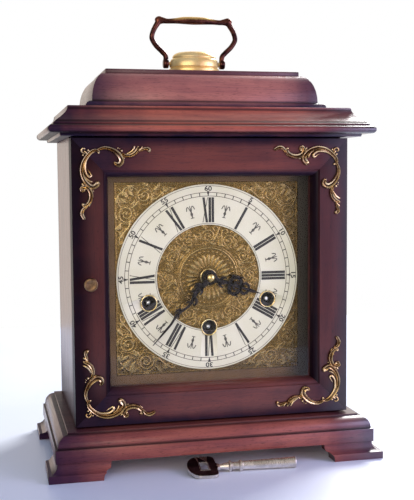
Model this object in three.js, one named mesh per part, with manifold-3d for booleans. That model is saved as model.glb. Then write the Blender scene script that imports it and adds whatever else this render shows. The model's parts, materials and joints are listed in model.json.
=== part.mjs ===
// A mahogany bracket clock with a swinging carrying handle, three winding trains and its winding key.
// Millimetres. x runs across the front to the right, y runs from the door's front to the back, z is up
// from the table. The clock's own front plane (the face of the closed door) is y = 0 until the last
// lines, which move the origin to the bottom centre of the whole set.
import * as THREE from "three";
import { mergeVertices } from "three/addons/utils/BufferGeometryUtils.js";
import Module from "manifold-3d";

const wasm = await Module();
wasm.setup();

// ---------------------------------------------------------------- driving dimensions

// Case
const caseWidth = 221.3;
const caseDepth = 138.5; // from the door's front to the back of the sides
const caseHeight = 224.6; // from the top of the base to the underside of the cornice
const sideThickness = 12;
const runningGap = 0.3; // between pieces that turn or slide past each other
const seatGap = 0.3; // round a turned piece that is pushed into a hole

// Base
const footHeight = 12.9;
const footFlare = 22.75; // how far the toe stands out from the case side
const footTopOut = 15.85;
const footToeHeight = 5.8;
const footTopFillet = 1.6; // the flat above a foot's cove
const footWingLength = 42.5; // from the plinth's corner to the inner end of a wing
const footNotch = 7; // how far the wing's end is scooped back
const footThickness = 15;
const plinthHeight = 10.7;
const plinthOut = 16.95;
const baseMouldingHeight = 10.6;
const baseFilletOut = 15.3;
const baseTopOut = 6.95;
const baseTopFillet = 1.2;

// Cornice, caddy and top board
const corniceHeight = 23;
const corniceUnderOut = 8.45;
const corniceFasciaHeight = 2.2;
const beadRadius = 3;
const beadOut = 17.75; // the bead's outermost point
const coveFootOut = 12;
const coveTopOut = 2.6;
const coveHollow = 0.9;
const coveTopBelowEdge = 2.3;
const caddyHeight = 27.9;
const caddyStepIn = 13.15; // the caddy's lowest edge stands in from the case side
const caddyStepHeight = 5.2;
const bellIn = 18.55;
const bellDrawIn = 11.9;
const topBoardIn = 30.75;
const topBoardThickness = 3.5;

// Handle and saddle
const saddleHalfLength = 21.5;
const saddleHalfWidth = 14;
const saddleHeight = 19.3;
const pivotAboveTop = 9.3;
const pivotRadius = 1.5;
const eyeRadius = 4;
const eyeThickness = 4.4;
const eyeClearOfSaddle = 0.6;
const handleHeight = 36; // from the pivot to the middle of the grip
const handleBulge = 11.4; // how far the legs swell out beyond the eyes
const handleEarOut = 5.4;
const legRadius = 2.1;
const gripRadius = 3.3;

// Front door
const doorThickness = 15;
const doorCaseGap = 0.4;
const doorGapBelow = 1.5;
const doorGapAbove = 1;
const stileWidth = 23.5;
const bottomRailWidth = 23.1;
const topRailWidth = 24.9;
const stickingWidth = 4.9;
const stickingDepth = 8;
const glassSetback = 9.3;
const glassThickness = 1.8;
const rabbetWidth = 3.9;
const knobFromEdge = 12.6;
const knobRadius = 5.3;
const knobLength = 10;
const mountFromEdge = 8; // a corner mount's outer corner from the door's two edges
const mountLength = 54; // along each of its two arms

// Hinges, catch and back door
const hingeLeafWidth = 9;
const hingeLeafThickness = 1;
const hingeHeight = 30;
const hingeFromDoorEnd = 45;
const knuckleRadius = 2.2;
const hingePinRadius = 0.9;
const catchRadius = 2.6;
const catchLength = 8;
const backDoorThickness = 6;
const backDoorGap = 0.8;
const pivotPlateThickness = 1;
const pivotPlateLength = 7; // from the pin inwards
const pivotPlateHalfDepth = 2.6;
const backPinRadius = 1.3;
const backPinLength = 7;
const fingerNotchRadius = 9;
const slotsEachSide = 2;
const slotSpacing = 18;
const slotHalfLength = 42;
const slotFall = 4.5; // how much shorter the outer slots are
const slotHalfWidth = 2;

// Dial
const dialAboveCaseFloor = 112.6;
const dialSetback = 22; // the face of the dial plate behind the door's front
const dialPlateThickness = 1.5;
const dialPlateCover = 6.8; // how far the plate reaches behind the door's sight edge
const chapterOuterRadius = 75;
const chapterInnerRadius = 42.5;
const chapterThickness = 1;
const bushRadius = 6.6;
const bushHoleRadius = 5.2;
const bushNeckRadius = 5.8;
const bushFlange = 0.8;
const dialBoardThickness = 8;
const boardHoleRadius = 9;
const windingSideX = 49.2;
const windingSideDrop = 19.5;
const windingCentreDrop = 40.8;
const arborTipDepth = 2.4; // the arbor's tip lies behind the face of the dial plate

// Hands, at three thirty-seven
const shownHours = 3;
const shownMinutes = 37;
const handThickness = 1.2;
const hourHandLength = 45;
const minuteHandLength = 70;
const hourHandProud = 4.8; // the face of the hour hand in front of the dial plate
const minuteHandProud = 7.8;
const hourPipeRadius = 4;
const cannonRadius = 2.4;
const centreArborRadius = 1.3;
const nutRadius = 3;

// Movement
const plateHalfWidth = 68;
const plateAboveCentre = 50;
const plateBelowCentre = 64;
const plateThickness = 2.5;
const frontPlateSetback = 38;
const roomBehindMovement = 48; // from the back plate to the back of the case
const pillarRadius = 3.5;
const pillarFromEdge = 8;
const seatBoardThickness = 10;
const seatBoardProud = 2.5; // behind the back plate
const dadoDepth = 4;
const arborRadius = 2.4;
const arborSquare = 3.6;
const ratchetTeeth = 14;
const ratchetRadius = 8;
const ratchetThickness = 1.6;
const ratchetBehindBoard = 1; // the ratchet wheel behind the dial board
const arborTail = 1.5; // how far a winding arbor comes out of the back plate
const barrelRadius = 17;
const barrelEndGap = 8; // between a barrel and the back plate
const greatWheelThickness = 2.5;
const greatWheelSetback = 58;
const greatWheelTeeth = 40;
const restingWheelTeeth = 24;
const restingWheelRadius = 18.4;
const secondPinionTeeth = 8;
const secondWheelTeeth = 32;
const centrePinionTeeth = 8;
const secondArborX = -14;
const secondArborZ = -20;
const secondWheelSetback = 48;
const wheelThickness = 2;
const pinionLength = 7;
const cannonTeeth = 8;
const minuteWheelTeeth = 24;
const minutePinionTeeth = 8;
const hourWheelTeeth = 32;
const minuteWheelX = 10.6;
const minuteWheelZ = 10.6;
const motionWheelThickness = 1.2;
const hourWheelAhead = 5; // in front of the front plate
const minuteWheelAhead = 2.4;
const bridgeX = -30;
const bridgeHalfWidth = 16;
const bridgeThickness = 2;
const balanceRadius = 11;
const balanceHeight = 6; // the balance wheel above its bridge plate
const cockHeight = 11;
const cockPostOut = 5; // the cock's post outside the balance's rim
const balanceRim = 1.6;

// Chime
const rodCount = 4;
const rodRadius = 1.25;
const rodSpacing = 7;
const rodAboveFloor = 10.8;
const rodLength = 140;
const rodBlockWidth = 14;
const rodBlockFromSide = 6;
const rodBlockHalfDepth = 8;
const rodShortening = 8; // each rod than the one below it
const hammerPivotBehindPlate = 11.5;
const rodBehindPivot = 10;
const hammerPivotBelowCentre = 26.8;
const hammerSpacing = 15;
const hammerHeadRadius = 3.5;
const hammerRodGap = 1.5;
const hammerArborRadius = 1.5;
const hammerEarHalf = 3.4;
const hammerEarThickness = 1.6;
const hammerEndPlay = 1.2; // how far the arbor comes out of each ear

// Winding key
const keyLength = 86;
const keyBowLength = 24;
const keyBowWidth = 31;
const keyBowThickness = 2.6;
const keyBarrelRadius = 4.3;
const keySocket = 4;
const keySocketDepth = 22;
const keyFrontSetback = -25; // the key's middle line from the door's front
const keyMiddleX = 14.5;
const keyTurn = -3; // degrees, seen from above

// ---------------------------------------------------------------- places worked out from them

const caseHalf = caseWidth / 2;
const sideInner = caseHalf - sideThickness;
const plinthTop = footHeight + plinthHeight;
const caseFloor = plinthTop + baseMouldingHeight;
const caseCeiling = caseFloor + caseHeight;
const corniceTop = caseCeiling + corniceHeight;
const caddyTop = corniceTop + caddyHeight;
const clockTop = caddyTop + topBoardThickness;
const sideFront = doorThickness + doorCaseGap;
const doorBottom = caseFloor + doorGapBelow;
const doorTop = caseCeiling - doorGapAbove;
const sightHalfWidth = caseHalf - stileWidth - stickingWidth;
const sightBottom = doorBottom + bottomRailWidth + stickingWidth;
const sightTop = doorTop - topRailWidth - stickingWidth;
const dialCentre = caseFloor + dialAboveCaseFloor;
const boardFront = dialSetback + dialPlateThickness;
const boardBack = boardFront + dialBoardThickness;
const movementBack = caseDepth - roomBehindMovement;
const backPlateFront = movementBack - plateThickness;
const seatBoardBack = movementBack + seatBoardProud;
const hammerPivotSetback = movementBack + hammerPivotBehindPlate;
const rodSetback = hammerPivotSetback + rodBehindPivot;
const seatTop = dialCentre - plateBelowCentre;
const windingPlaces = {
  left: [-windingSideX, -windingSideDrop],
  centre: [0, -windingCentreDrop],
  right: [windingSideX, -windingSideDrop],
};

// ---------------------------------------------------------------- finishes

function finish(color, roughness, metalness) {
  return new THREE.MeshStandardMaterial({ color, roughness, metalness });
}
const mahogany = finish(0x4e2526, 0.35, 0);
const plainWood = finish(0x8a6647, 0.6, 0);
const glassFinish = finish(0xdfe8e6, 0.05, 0);
const antiqueBrass = finish(0x8a7250, 0.4, 1);
const polishedBrass = finish(0xe0b868, 0.25, 1);
const dialBrass = finish(0x8a6d3a, 0.4, 1);
const ivory = finish(0xe2ddd0, 0.5, 0);
const blackened = finish(0x201c1c, 0.4, 0.6);
const bronze = finish(0x5b3a30, 0.4, 1);
const plateBrass = finish(0xc9a55c, 0.35, 1);
const steel = finish(0x9a9a9c, 0.35, 1);
const iron = finish(0x3c3c40, 0.6, 0.8);
const nickel = finish(0xc9b99a, 0.3, 1);

// ---------------------------------------------------------------- making solids

// A closed mesh with shared corners, no flat slivers and its faces pointing out.
function closed(geometry) {
  const bare = geometry.clone();
  bare.deleteAttribute("normal");
  bare.deleteAttribute("uv");
  const merged = mergeVertices(bare, 1e-4);
  const from = merged.index.array;
  const place = merged.attributes.position;
  const kept = [];
  let volume = 0;
  const a = new THREE.Vector3();
  const b = new THREE.Vector3();
  const c = new THREE.Vector3();
  for (let i = 0; i < from.length; i += 3) {
    const [p, q, r] = [from[i], from[i + 1], from[i + 2]];
    if (p === q || q === r || r === p) {
      continue;
    }
    kept.push(p, q, r);
    a.fromBufferAttribute(place, p);
    b.fromBufferAttribute(place, q);
    c.fromBufferAttribute(place, r);
    volume += a.dot(b.cross(c));
  }
  if (volume < 0) {
    kept.reverse();
  }
  merged.setIndex(kept);
  return merged;
}

function toManifold(geometry) {
  const shell = closed(geometry);
  const mesh = new wasm.Mesh({
    numProp: 3,
    vertProperties: new Float32Array(shell.attributes.position.array),
    triVerts: new Uint32Array(shell.index.array),
  });
  return new wasm.Manifold(mesh);
}

function fromManifold(solid) {
  const mesh = solid.getMesh();
  const geometry = new THREE.BufferGeometry();
  geometry.setAttribute("position", new THREE.BufferAttribute(new Float32Array(mesh.vertProperties), 3));
  geometry.setIndex(Array.from(mesh.triVerts));
  return geometry;
}

function join(...pieces) {
  return fromManifold(pieces.map(toManifold).reduce((all, next) => all.add(next)));
}

function cut(piece, ...tools) {
  return fromManifold(tools.map(toManifold).reduce((left, tool) => left.subtract(tool), toManifold(piece)));
}

function common(piece, other) {
  return fromManifold(toManifold(piece).intersect(toManifold(other)));
}

// Skins rings of equal length into one body. outline is the ring's shape in its own plane, for the ends.
function loft(rings, outline) {
  const size = rings[0].length;
  const positions = rings.flat(2);
  const index = [];
  for (let ring = 0; ring < rings.length - 1; ring += 1) {
    for (let k = 0; k < size; k += 1) {
      const here = ring * size + k;
      const next = ring * size + ((k + 1) % size);
      index.push(here, next, here + size);
      index.push(next, next + size, here + size);
    }
  }
  const flat = outline.map(([u, v]) => new THREE.Vector2(u, v));
  const outlineTurn = Math.sign(THREE.ShapeUtils.area(flat));
  const last = (rings.length - 1) * size;
  for (const [p, q, r] of THREE.ShapeUtils.triangulateShape(flat, [])) {
    const turn = Math.sign(THREE.ShapeUtils.area([flat[p], flat[q], flat[r]]));
    const [i, j, k] = turn === outlineTurn ? [p, q, r] : [p, r, q];
    index.push(k, j, i);
    index.push(last + i, last + j, last + k);
  }
  const geometry = new THREE.BufferGeometry();
  geometry.setAttribute("position", new THREE.Float32BufferAttribute(positions, 3));
  geometry.setIndex(index);
  return geometry;
}

// Points of a circular or elliptical arc in a plane, both ends included.
function arc(centreU, centreV, radiusU, radiusV, fromDegrees, toDegrees, steps) {
  const points = [];
  for (let step = 0; step <= steps; step += 1) {
    const angle = THREE.MathUtils.degToRad(fromDegrees + ((toDegrees - fromDegrees) * step) / steps);
    points.push([centreU + radiusU * Math.cos(angle), centreV + radiusV * Math.sin(angle)]);
  }
  return points;
}

// A shallow curve from one point to another. A positive hollow bends it to the right of its way.
function curveBetween([u0, v0], [u1, v1], hollow, steps) {
  const length = Math.hypot(u1 - u0, v1 - v0);
  const points = [];
  for (let step = 0; step <= steps; step += 1) {
    const t = step / steps;
    const bend = (4 * t * (1 - t) * hollow) / length;
    points.push([u0 + (u1 - u0) * t + (v1 - v0) * bend, v0 + (v1 - v0) * t - (u1 - u0) * bend]);
  }
  return points;
}

function box(x0, x1, y0, y1, z0, z1) {
  const geometry = new THREE.BoxGeometry(x1 - x0, y1 - y0, z1 - z0);
  geometry.translate((x0 + x1) / 2, (y0 + y1) / 2, (z0 + z1) / 2);
  return geometry;
}

// A round bar along y, from y0 to y1, with its middle at x and z.
function barAlongY(radius, y0, y1, x, z, sides = 24) {
  const geometry = new THREE.CylinderGeometry(radius, radius, y1 - y0, sides);
  geometry.translate(x, (y0 + y1) / 2, z);
  return geometry;
}

function barAlongX(radius, x0, x1, y, z, sides = 16) {
  const geometry = new THREE.CylinderGeometry(radius, radius, x1 - x0, sides);
  geometry.rotateZ(Math.PI / 2);
  geometry.translate((x0 + x1) / 2, y, z);
  return geometry;
}

function barAlongZ(radius, z0, z1, x, y, sides = 16) {
  const geometry = new THREE.CylinderGeometry(radius, radius, z1 - z0, sides);
  geometry.rotateX(Math.PI / 2);
  geometry.translate(x, y, (z0 + z1) / 2);
  return geometry;
}

// Turned about the y axis: profile is a list of [radius, y].
function turnedAlongY(profile, sides) {
  return new THREE.LatheGeometry(profile.map(([r, y]) => new THREE.Vector2(r, y)), sides);
}

// A plate lying in the xz plane, cut to a shape and to its holes, from y0 to y1.
function plateAlongY(shape, y0, y1, curveSegments = 16) {
  const geometry = new THREE.ExtrudeGeometry(shape, {
    depth: y1 - y0,
    bevelEnabled: false,
    curveSegments,
  });
  geometry.rotateX(Math.PI / 2);
  geometry.translate(0, y1, 0);
  return geometry;
}

// A prism along x whose outline is drawn in the yz plane.
function prismAlongX(outline, x0, x1) {
  const rings = [x0, x1].map((x) => outline.map(([y, z]) => [x, y, z]));
  return loft(rings, outline);
}

function prismAlongY(outline, y0, y1) {
  const rings = [y0, y1].map((y) => outline.map(([x, z]) => [x, y, z]));
  return loft(rings, outline);
}

function circleHole(radius, x, z) {
  const hole = new THREE.Path();
  hole.absarc(x, z, radius, 0, 2 * Math.PI, true);
  return hole;
}

function rectangleShape(x0, x1, z0, z1) {
  const shape = new THREE.Shape();
  shape.moveTo(x0, z0);
  shape.lineTo(x1, z0);
  shape.lineTo(x1, z1);
  shape.lineTo(x0, z1);
  shape.closePath();
  return shape;
}

// A toothed outline. One tooth is centred on the given angle.
function toothedOutline(teeth, module, toothAngle, slack = 1) {
  const pitchRadius = (teeth * module) / 2;
  const rootRadius = pitchRadius - 1.25 * module;
  const tipRadius = pitchRadius + 0.9 * module;
  const rootHalf = 0.27 * slack;
  const tipHalf = 0.11 * slack;
  const pitch = (2 * Math.PI) / teeth;
  const points = [];
  for (let tooth = 0; tooth < teeth; tooth += 1) {
    const middle = toothAngle + tooth * pitch;
    for (const [radius, part] of [
      [rootRadius, -rootHalf],
      [tipRadius, -tipHalf],
      [tipRadius, tipHalf],
      [rootRadius, rootHalf],
    ]) {
      const angle = middle + part * pitch;
      points.push([radius * Math.cos(angle), radius * Math.sin(angle)]);
    }
  }
  return points;
}

function toothedWheel(outline, bore, y0, y1, x, z) {
  const shape = new THREE.Shape(outline.map(([u, v]) => new THREE.Vector2(u, v)));
  if (bore > 0) {
    shape.holes.push(circleHole(bore, 0, 0));
  }
  const wheel = plateAlongY(shape, y0, y1, 6);
  wheel.translate(x, 0, z);
  return wheel;
}

// A bar with a rounded face and a flat back that lies on the door, along a path in the xz plane.
// stations are [u, v, half width], and rise is its height off the face.
const barSection = [[-1, 0], [-0.6, 0.85], [0.25, 1], [1, 0]];

function scrollBar(stations, rise) {
  const rings = stations.map(([u, v, half], i) => {
    const [pu, pv] = stations[Math.max(i - 1, 0)];
    const [nu, nv] = stations[Math.min(i + 1, stations.length - 1)];
    const length = Math.hypot(nu - pu, nv - pv);
    const [su, sv] = [-(nv - pv) / length, (nu - pu) / length];
    const height = Math.min(rise, half * 1.5);
    const section = barSection.map(([across, up]) => [across * half, -up * height]);
    return section.map(([across, y]) => [u + su * across, y, v + sv * across]);
  });
  return loft(rings, barSection);
}

// A small cast boss with a domed face, standing on the door.
function boss(u, v, radius, rise) {
  const dome = turnedAlongY(
    [[0, 0], [radius, 0], [radius * 0.8, -rise * 0.6], [0, -rise]],
    6,
  );
  dome.translate(u, 0, v);
  return dome;
}

// ---------------------------------------------------------------- the set

const clock = new THREE.Group();

function addPiece(group, name, geometry, material) {
  const mesh = new THREE.Mesh(closed(geometry), material);
  mesh.name = name;
  group.add(mesh);
  return mesh;
}

function addGroup(parent, x = 0, y = 0, z = 0) {
  const group = new THREE.Group();
  group.position.set(x, y, z);
  parent.add(group);
  return group;
}

// A board with a moulded edge on its front and ends. profile is a list of [out, height]: out is how far
// it stands out from the case's side and front. Where backMoulded is true the back is moulded as well.
function mouldedBoard(profile, backMoulded) {
  const rings = profile.map(([out, height]) => {
    const half = caseHalf + out;
    const back = backMoulded ? caseDepth + out : caseDepth;
    return [[-half, -out, height], [half, -out, height], [half, back, height], [-half, back, height]];
  });
  return loft(rings, [[-1, -1], [1, -1], [1, 1], [-1, 1]]);
}

// ---------------------------------------------------------------- base

// One bracket foot: a flared block, cut back to a front wing and a side wing whose ends are scooped.
function bracketFoot(side, atBack) {
  const toe = footToeHeight;
  const coveTop = footHeight - footTopFillet;
  const cove = arc(footFlare, coveTop, footFlare - footTopOut, coveTop - toe, 180, 270, 4);
  const flared = mouldedBoard([[footFlare, 0], ...cove.reverse(), [footTopOut, footHeight]], false);
  const over = footFlare + 2;
  const under = -1;
  const wingEnd = plinthOut - footWingLength;
  const scoop = [
    [wingEnd + footNotch, under],
    [wingEnd + footNotch, toe * 0.3],
    ...arc(wingEnd - 1, toe * 0.3, footNotch + 1, footHeight * 0.5, 0, 75, 3).slice(1),
    [wingEnd, footHeight + 1],
  ];
  const wingOutline = [[over, under], [over, footHeight + 1], ...scoop.reverse()];
  // The front wing runs along x: out is measured from the case side.
  const acrossX = wingOutline.map(([out, z]) => [side * (caseHalf + out), z]);
  const frontBack = atBack ? [caseDepth - footThickness, caseDepth + 1] : [-over, -footFlare + footThickness];
  const frontWing = prismAlongY(acrossX, frontBack[0], frontBack[1]);
  // The side wing runs along y from the same corner.
  const alongY = wingOutline.map(([out, z]) => [atBack ? caseDepth - plinthOut + out : -out, z]);
  const inner = caseHalf + footFlare - footThickness;
  const [x0, x1] = side > 0 ? [inner, caseHalf + over] : [-caseHalf - over, -inner];
  const sideWing = prismAlongX(alongY, x0, x1);
  return common(flared, join(frontWing, sideWing));
}

function makeBase(group) {
  for (const [place, side, atBack] of [
    ["front_left", -1, false],
    ["front_right", 1, false],
    ["rear_left", -1, true],
    ["rear_right", 1, true],
  ]) {
    addPiece(group, `foot_${place}`, bracketFoot(side, atBack), mahogany);
  }
  const plinth = mouldedBoard([[plinthOut, footHeight], [plinthOut, plinthTop]], false);
  addPiece(group, "base_plinth", plinth, mahogany);
  const ovoloFoot = plinthTop + baseTopFillet;
  const ovoloTop = caseFloor - baseTopFillet;
  const ovolo = arc(baseTopOut, ovoloFoot, baseFilletOut - baseTopOut, ovoloTop - ovoloFoot, 0, 90, 6);
  const moulding = mouldedBoard([[baseFilletOut, plinthTop], ...ovolo, [baseTopOut, caseFloor]], false);
  addPiece(group, "base_moulding", moulding, mahogany);
}

// ---------------------------------------------------------------- case

function hingeHeights() {
  return [doorBottom + hingeFromDoorEnd, doorTop - hingeFromDoorEnd];
}

function makeSides(group) {
  const dado = (side) => {
    const [x0, x1] = side > 0 ? [sideInner, sideInner + dadoDepth] : [-sideInner - dadoDepth, -sideInner];
    return box(x0, x1, boardBack, seatBoardBack, seatTop - seatBoardThickness, seatTop);
  };
  const left = box(-caseHalf, -sideInner, sideFront, caseDepth, caseFloor, caseCeiling);
  const catchHole = barAlongY(
    catchRadius + seatGap, sideFront - 1, sideFront + catchLength + seatGap,
    -caseHalf + sideThickness / 2, catchHeight(), 12,
  );
  addPiece(group, "side_left", cut(left, dado(-1), catchHole), mahogany);
  const right = box(sideInner, caseHalf, sideFront, caseDepth, caseFloor, caseCeiling);
  const mortises = hingeHeights().map((z) => box(
    caseHalf - hingeLeafWidth, caseHalf + 1,
    sideFront - 1, sideFront + hingeLeafThickness,
    z - hingeHeight / 2, z + hingeHeight / 2,
  ));
  addPiece(group, "side_right", cut(right, dado(1), ...mortises), mahogany);
}

function makeBoards(group) {
  const seat = box(
    -sideInner - dadoDepth, sideInner + dadoDepth,
    boardBack, seatBoardBack, seatTop - seatBoardThickness, seatTop,
  );
  addPiece(group, "seat_board", seat, plainWood);
  const face = rectangleShape(-sideInner, sideInner, caseFloor, caseCeiling);
  face.holes.push(circleHole(boardHoleRadius, 0, dialCentre));
  for (const [x, z] of Object.values(windingPlaces)) {
    face.holes.push(circleHole(boardHoleRadius, x, dialCentre + z));
  }
  addPiece(group, "dial_board", plateAlongY(face, boardFront, boardBack, 7), plainWood);
}

function makeTop(group) {
  const beadMiddle = caseCeiling + corniceFasciaHeight + beadRadius;
  const beadFace = beadOut - beadRadius;
  const coveFoot = beadMiddle + beadRadius + 0.8;
  const cornice = mouldedBoard([
    [corniceUnderOut, caseCeiling],
    [corniceUnderOut + 0.6, caseCeiling + corniceFasciaHeight],
    ...arc(beadFace, beadMiddle, beadRadius, beadRadius, -90, 90, 6),
    [coveFootOut + 1.8, beadMiddle + beadRadius + 0.2],
    [coveFootOut + 1.2, coveFoot + 1.2],
    ...curveBetween(
      [coveFootOut, coveFoot + 2.6], [coveTopOut, corniceTop - coveTopBelowEdge], -coveHollow, 4,
    ),
    [coveTopOut - 0.4, corniceTop],
  ], false);
  addPiece(group, "cornice_moulding", cornice, mahogany);
  const stepTop = corniceTop + caddyStepHeight;
  const bell = arc(-bellIn - bellDrawIn, stepTop, bellDrawIn, caddyTop - stepTop, 0, 90, 7);
  const caddy = mouldedBoard([
    [-caddyStepIn, corniceTop],
    [-caddyStepIn, corniceTop + 1.4],
    ...arc(-bellIn, corniceTop + 1.4, bellIn - caddyStepIn, caddyStepHeight - 1.4, 0, 90, 3).slice(1),
    ...bell,
  ], true);
  addPiece(group, "caddy_moulding", caddy, mahogany);
  const board = mouldedBoard([[-topBoardIn, caddyTop], [-topBoardIn, clockTop]], true);
  addPiece(group, "top_board", board, mahogany);
}

// ---------------------------------------------------------------- saddle and handle

const pivotHeight = clockTop + pivotAboveTop;
const eyeInner = saddleHalfLength + eyeClearOfSaddle;
const eyeOuter = eyeInner + eyeThickness;
const handleY = caseDepth / 2;

// The cast saddle: oval steps drawn in to a low dome, with a turned stud at each end.
function saddleBody() {
  const steps = [
    [0, 0], [1, 0], [0.98, 0.28], [0.91, 0.33], [0.935, 0.4], [0.88, 0.6],
    [0.74, 0.73], [0.75, 0.79], [0.6, 0.95], [0.45, 1], [0, 1],
  ];
  const profile = steps.map(([r, h]) => [r * saddleHalfLength, h * saddleHeight]);
  const body = turnedAlongY(profile, 22);
  body.rotateX(Math.PI / 2);
  body.scale(1, saddleHalfWidth / saddleHalfLength, 1);
  body.translate(0, handleY, clockTop);
  const reach = eyeOuter - seatGap - 0.6;
  const studs = [[-reach, -saddleHalfLength * 0.6], [saddleHalfLength * 0.6, reach]].map(
    ([x0, x1]) => barAlongX(pivotRadius, x0, x1, handleY, pivotHeight, 12),
  );
  return join(body, ...studs);
}

// The handle's middle line for one half, from the eye to the grip's middle, as
// [x, z, half height in its plane, half depth].
function handleStations() {
  const eye = (eyeInner + eyeOuter) / 2;
  const high = handleHeight;
  return [
    [eye, 0, 2.2, 2.6],
    [eye, high * 0.17, legRadius, 2.4],
    [eye + handleBulge * 0.25, high * 0.27, legRadius, legRadius],
    [eye + handleBulge * 0.68, high * 0.4, legRadius, legRadius],
    [eye + handleBulge * 0.97, high * 0.54, legRadius, legRadius],
    [eye + handleBulge, high * 0.64, legRadius, legRadius],
    [eye + handleBulge * 0.84, high * 0.78, legRadius, legRadius],
    [eye + handleEarOut + 1, high * 0.93, legRadius * 1.2, legRadius],
    [eye + handleEarOut, high * 0.985, legRadius * 1.7, legRadius],
    [eye + handleEarOut - 3.6, high * 0.985, legRadius * 1.25, legRadius],
    [eye - 2, high * 0.975, legRadius, legRadius],
    [eye * 0.66, high * 0.985, legRadius * 1.1, legRadius * 1.15],
    [eye * 0.36, high, gripRadius * 0.92, gripRadius],
    [0, high, gripRadius, gripRadius * 1.1],
  ];
}

function handleBody() {
  const right = handleStations();
  const left = right.slice(0, -1).map(([x, z, a, b]) => [-x, z, a, b]);
  const stations = [...left, ...right.reverse()];
  const sides = 8;
  const rings = stations.map(([x, z, across, deep], i) => {
    const before = stations[Math.max(i - 1, 0)];
    const after = stations[Math.min(i + 1, stations.length - 1)];
    const [dx, dz] = [after[0] - before[0], after[1] - before[1]];
    const length = Math.hypot(dx, dz);
    const ring = arc(0, 0, across, deep, 0, 360, sides).slice(0, sides);
    return ring.map(([s, y]) => [
      x - (dz / length) * s, handleY + y, pivotHeight + z + (dx / length) * s,
    ]);
  });
  const bow = loft(rings, arc(0, 0, 1, 1, 0, 360, sides).slice(0, sides));
  const eyes = [[-eyeOuter, -eyeInner], [eyeInner, eyeOuter]].map(
    ([x0, x1]) => barAlongX(eyeRadius, x0, x1, handleY, pivotHeight, 14),
  );
  const holeEnd = eyeOuter - 0.6;
  const holes = [[-holeEnd, -eyeInner + 3], [eyeInner - 3, holeEnd]].map(
    ([x0, x1]) => barAlongX(pivotRadius + runningGap, x0, x1, handleY, pivotHeight, 12),
  );
  return cut(join(bow, ...eyes), ...holes);
}

// ---------------------------------------------------------------- front door

// A door member's section: u is measured inwards from the door's edge, y from its front.
function doorSection(width) {
  const sight = width + stickingWidth;
  const quirk = 1;
  return [
    [0, 0],
    [width, 0],
    ...arc(width, stickingDepth, stickingWidth, stickingDepth - quirk, -90, 0, 5),
    [sight, glassSetback],
    [sight - rabbetWidth, glassSetback],
    [sight - rabbetWidth, doorThickness],
    [0, doorThickness],
  ];
}

// A member mitred at both ends. low and high are the widths of the members it meets there.
function mitredMember(width, lowWidth, highWidth, lowEnd, highEnd, place) {
  const section = doorSection(width);
  const sight = width + stickingWidth;
  const half = runningGap / 2;
  const lowSlope = (lowWidth + stickingWidth) / sight;
  const highSlope = (highWidth + stickingWidth) / sight;
  const ringAt = (end) => section.map(([u, y]) => {
    const along = end < 0
      ? lowEnd + u * lowSlope + half * (1 + lowSlope)
      : highEnd - u * highSlope - half * (1 + highSlope);
    return place(u, y, along);
  });
  return loft([ringAt(-1), ringAt(1)], section);
}

function makeDoor(group) {
  const left = mitredMember(stileWidth, bottomRailWidth, topRailWidth, doorBottom, doorTop,
    (u, y, along) => [-caseHalf + u, y, along]);
  addPiece(group, "door_stile_left", left, mahogany);
  const right = mitredMember(stileWidth, bottomRailWidth, topRailWidth, doorBottom, doorTop,
    (u, y, along) => [caseHalf - u, y, along]);
  const mortises = hingeHeights().map((z) => box(
    caseHalf - hingeLeafWidth, caseHalf + 1,
    doorThickness - hingeLeafThickness, doorThickness + 1,
    z - hingeHeight / 2, z + hingeHeight / 2,
  ));
  addPiece(group, "door_stile_right", cut(right, ...mortises), mahogany);
  const bottom = mitredMember(bottomRailWidth, stileWidth, stileWidth, -caseHalf, caseHalf,
    (u, y, along) => [along, y, doorBottom + u]);
  addPiece(group, "door_rail_bottom", bottom, mahogany);
  const top = mitredMember(topRailWidth, stileWidth, stileWidth, -caseHalf, caseHalf,
    (u, y, along) => [along, y, doorTop - u]);
  addPiece(group, "door_rail_top", top, mahogany);
  const lap = rabbetWidth - runningGap;
  const glassBack = glassSetback + glassThickness;
  const glass = box(
    -sightHalfWidth - lap, sightHalfWidth + lap, glassSetback, glassBack,
    sightBottom - lap, sightTop + lap,
  );
  addPiece(group, "door_glass", glass, glassFinish);
  const beadShape = rectangleShape(
    -sightHalfWidth - lap, sightHalfWidth + lap, sightBottom - lap, sightTop + lap,
  );
  const window = new THREE.Path();
  window.moveTo(-sightHalfWidth, sightBottom);
  window.lineTo(-sightHalfWidth, sightTop);
  window.lineTo(sightHalfWidth, sightTop);
  window.lineTo(sightHalfWidth, sightBottom);
  window.closePath();
  beadShape.holes.push(window);
  addPiece(group, "glass_bead", plateAlongY(beadShape, glassBack, doorThickness), mahogany);
  addPiece(group, "door_knob", doorKnob(), antiqueBrass);
}

function catchHeight() {
  return (doorBottom + doorTop) / 2;
}

function doorKnob() {
  const profile = [
    [0, 0], [0.62, 0], [0.62, 0.12], [0.42, 0.2], [0.4, 0.42], [0.72, 0.56], [0.96, 0.66],
    [1, 0.8], [0.9, 0.92], [0.6, 0.98], [0, 1],
  ].map(([r, h]) => [r * knobRadius, -h * knobLength]);
  const knob = turnedAlongY(profile, 14);
  knob.translate(-caseHalf + knobFromEdge, 0, catchHeight());
  return knob;
}

// ---------------------------------------------------------------- corner mounts

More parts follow.
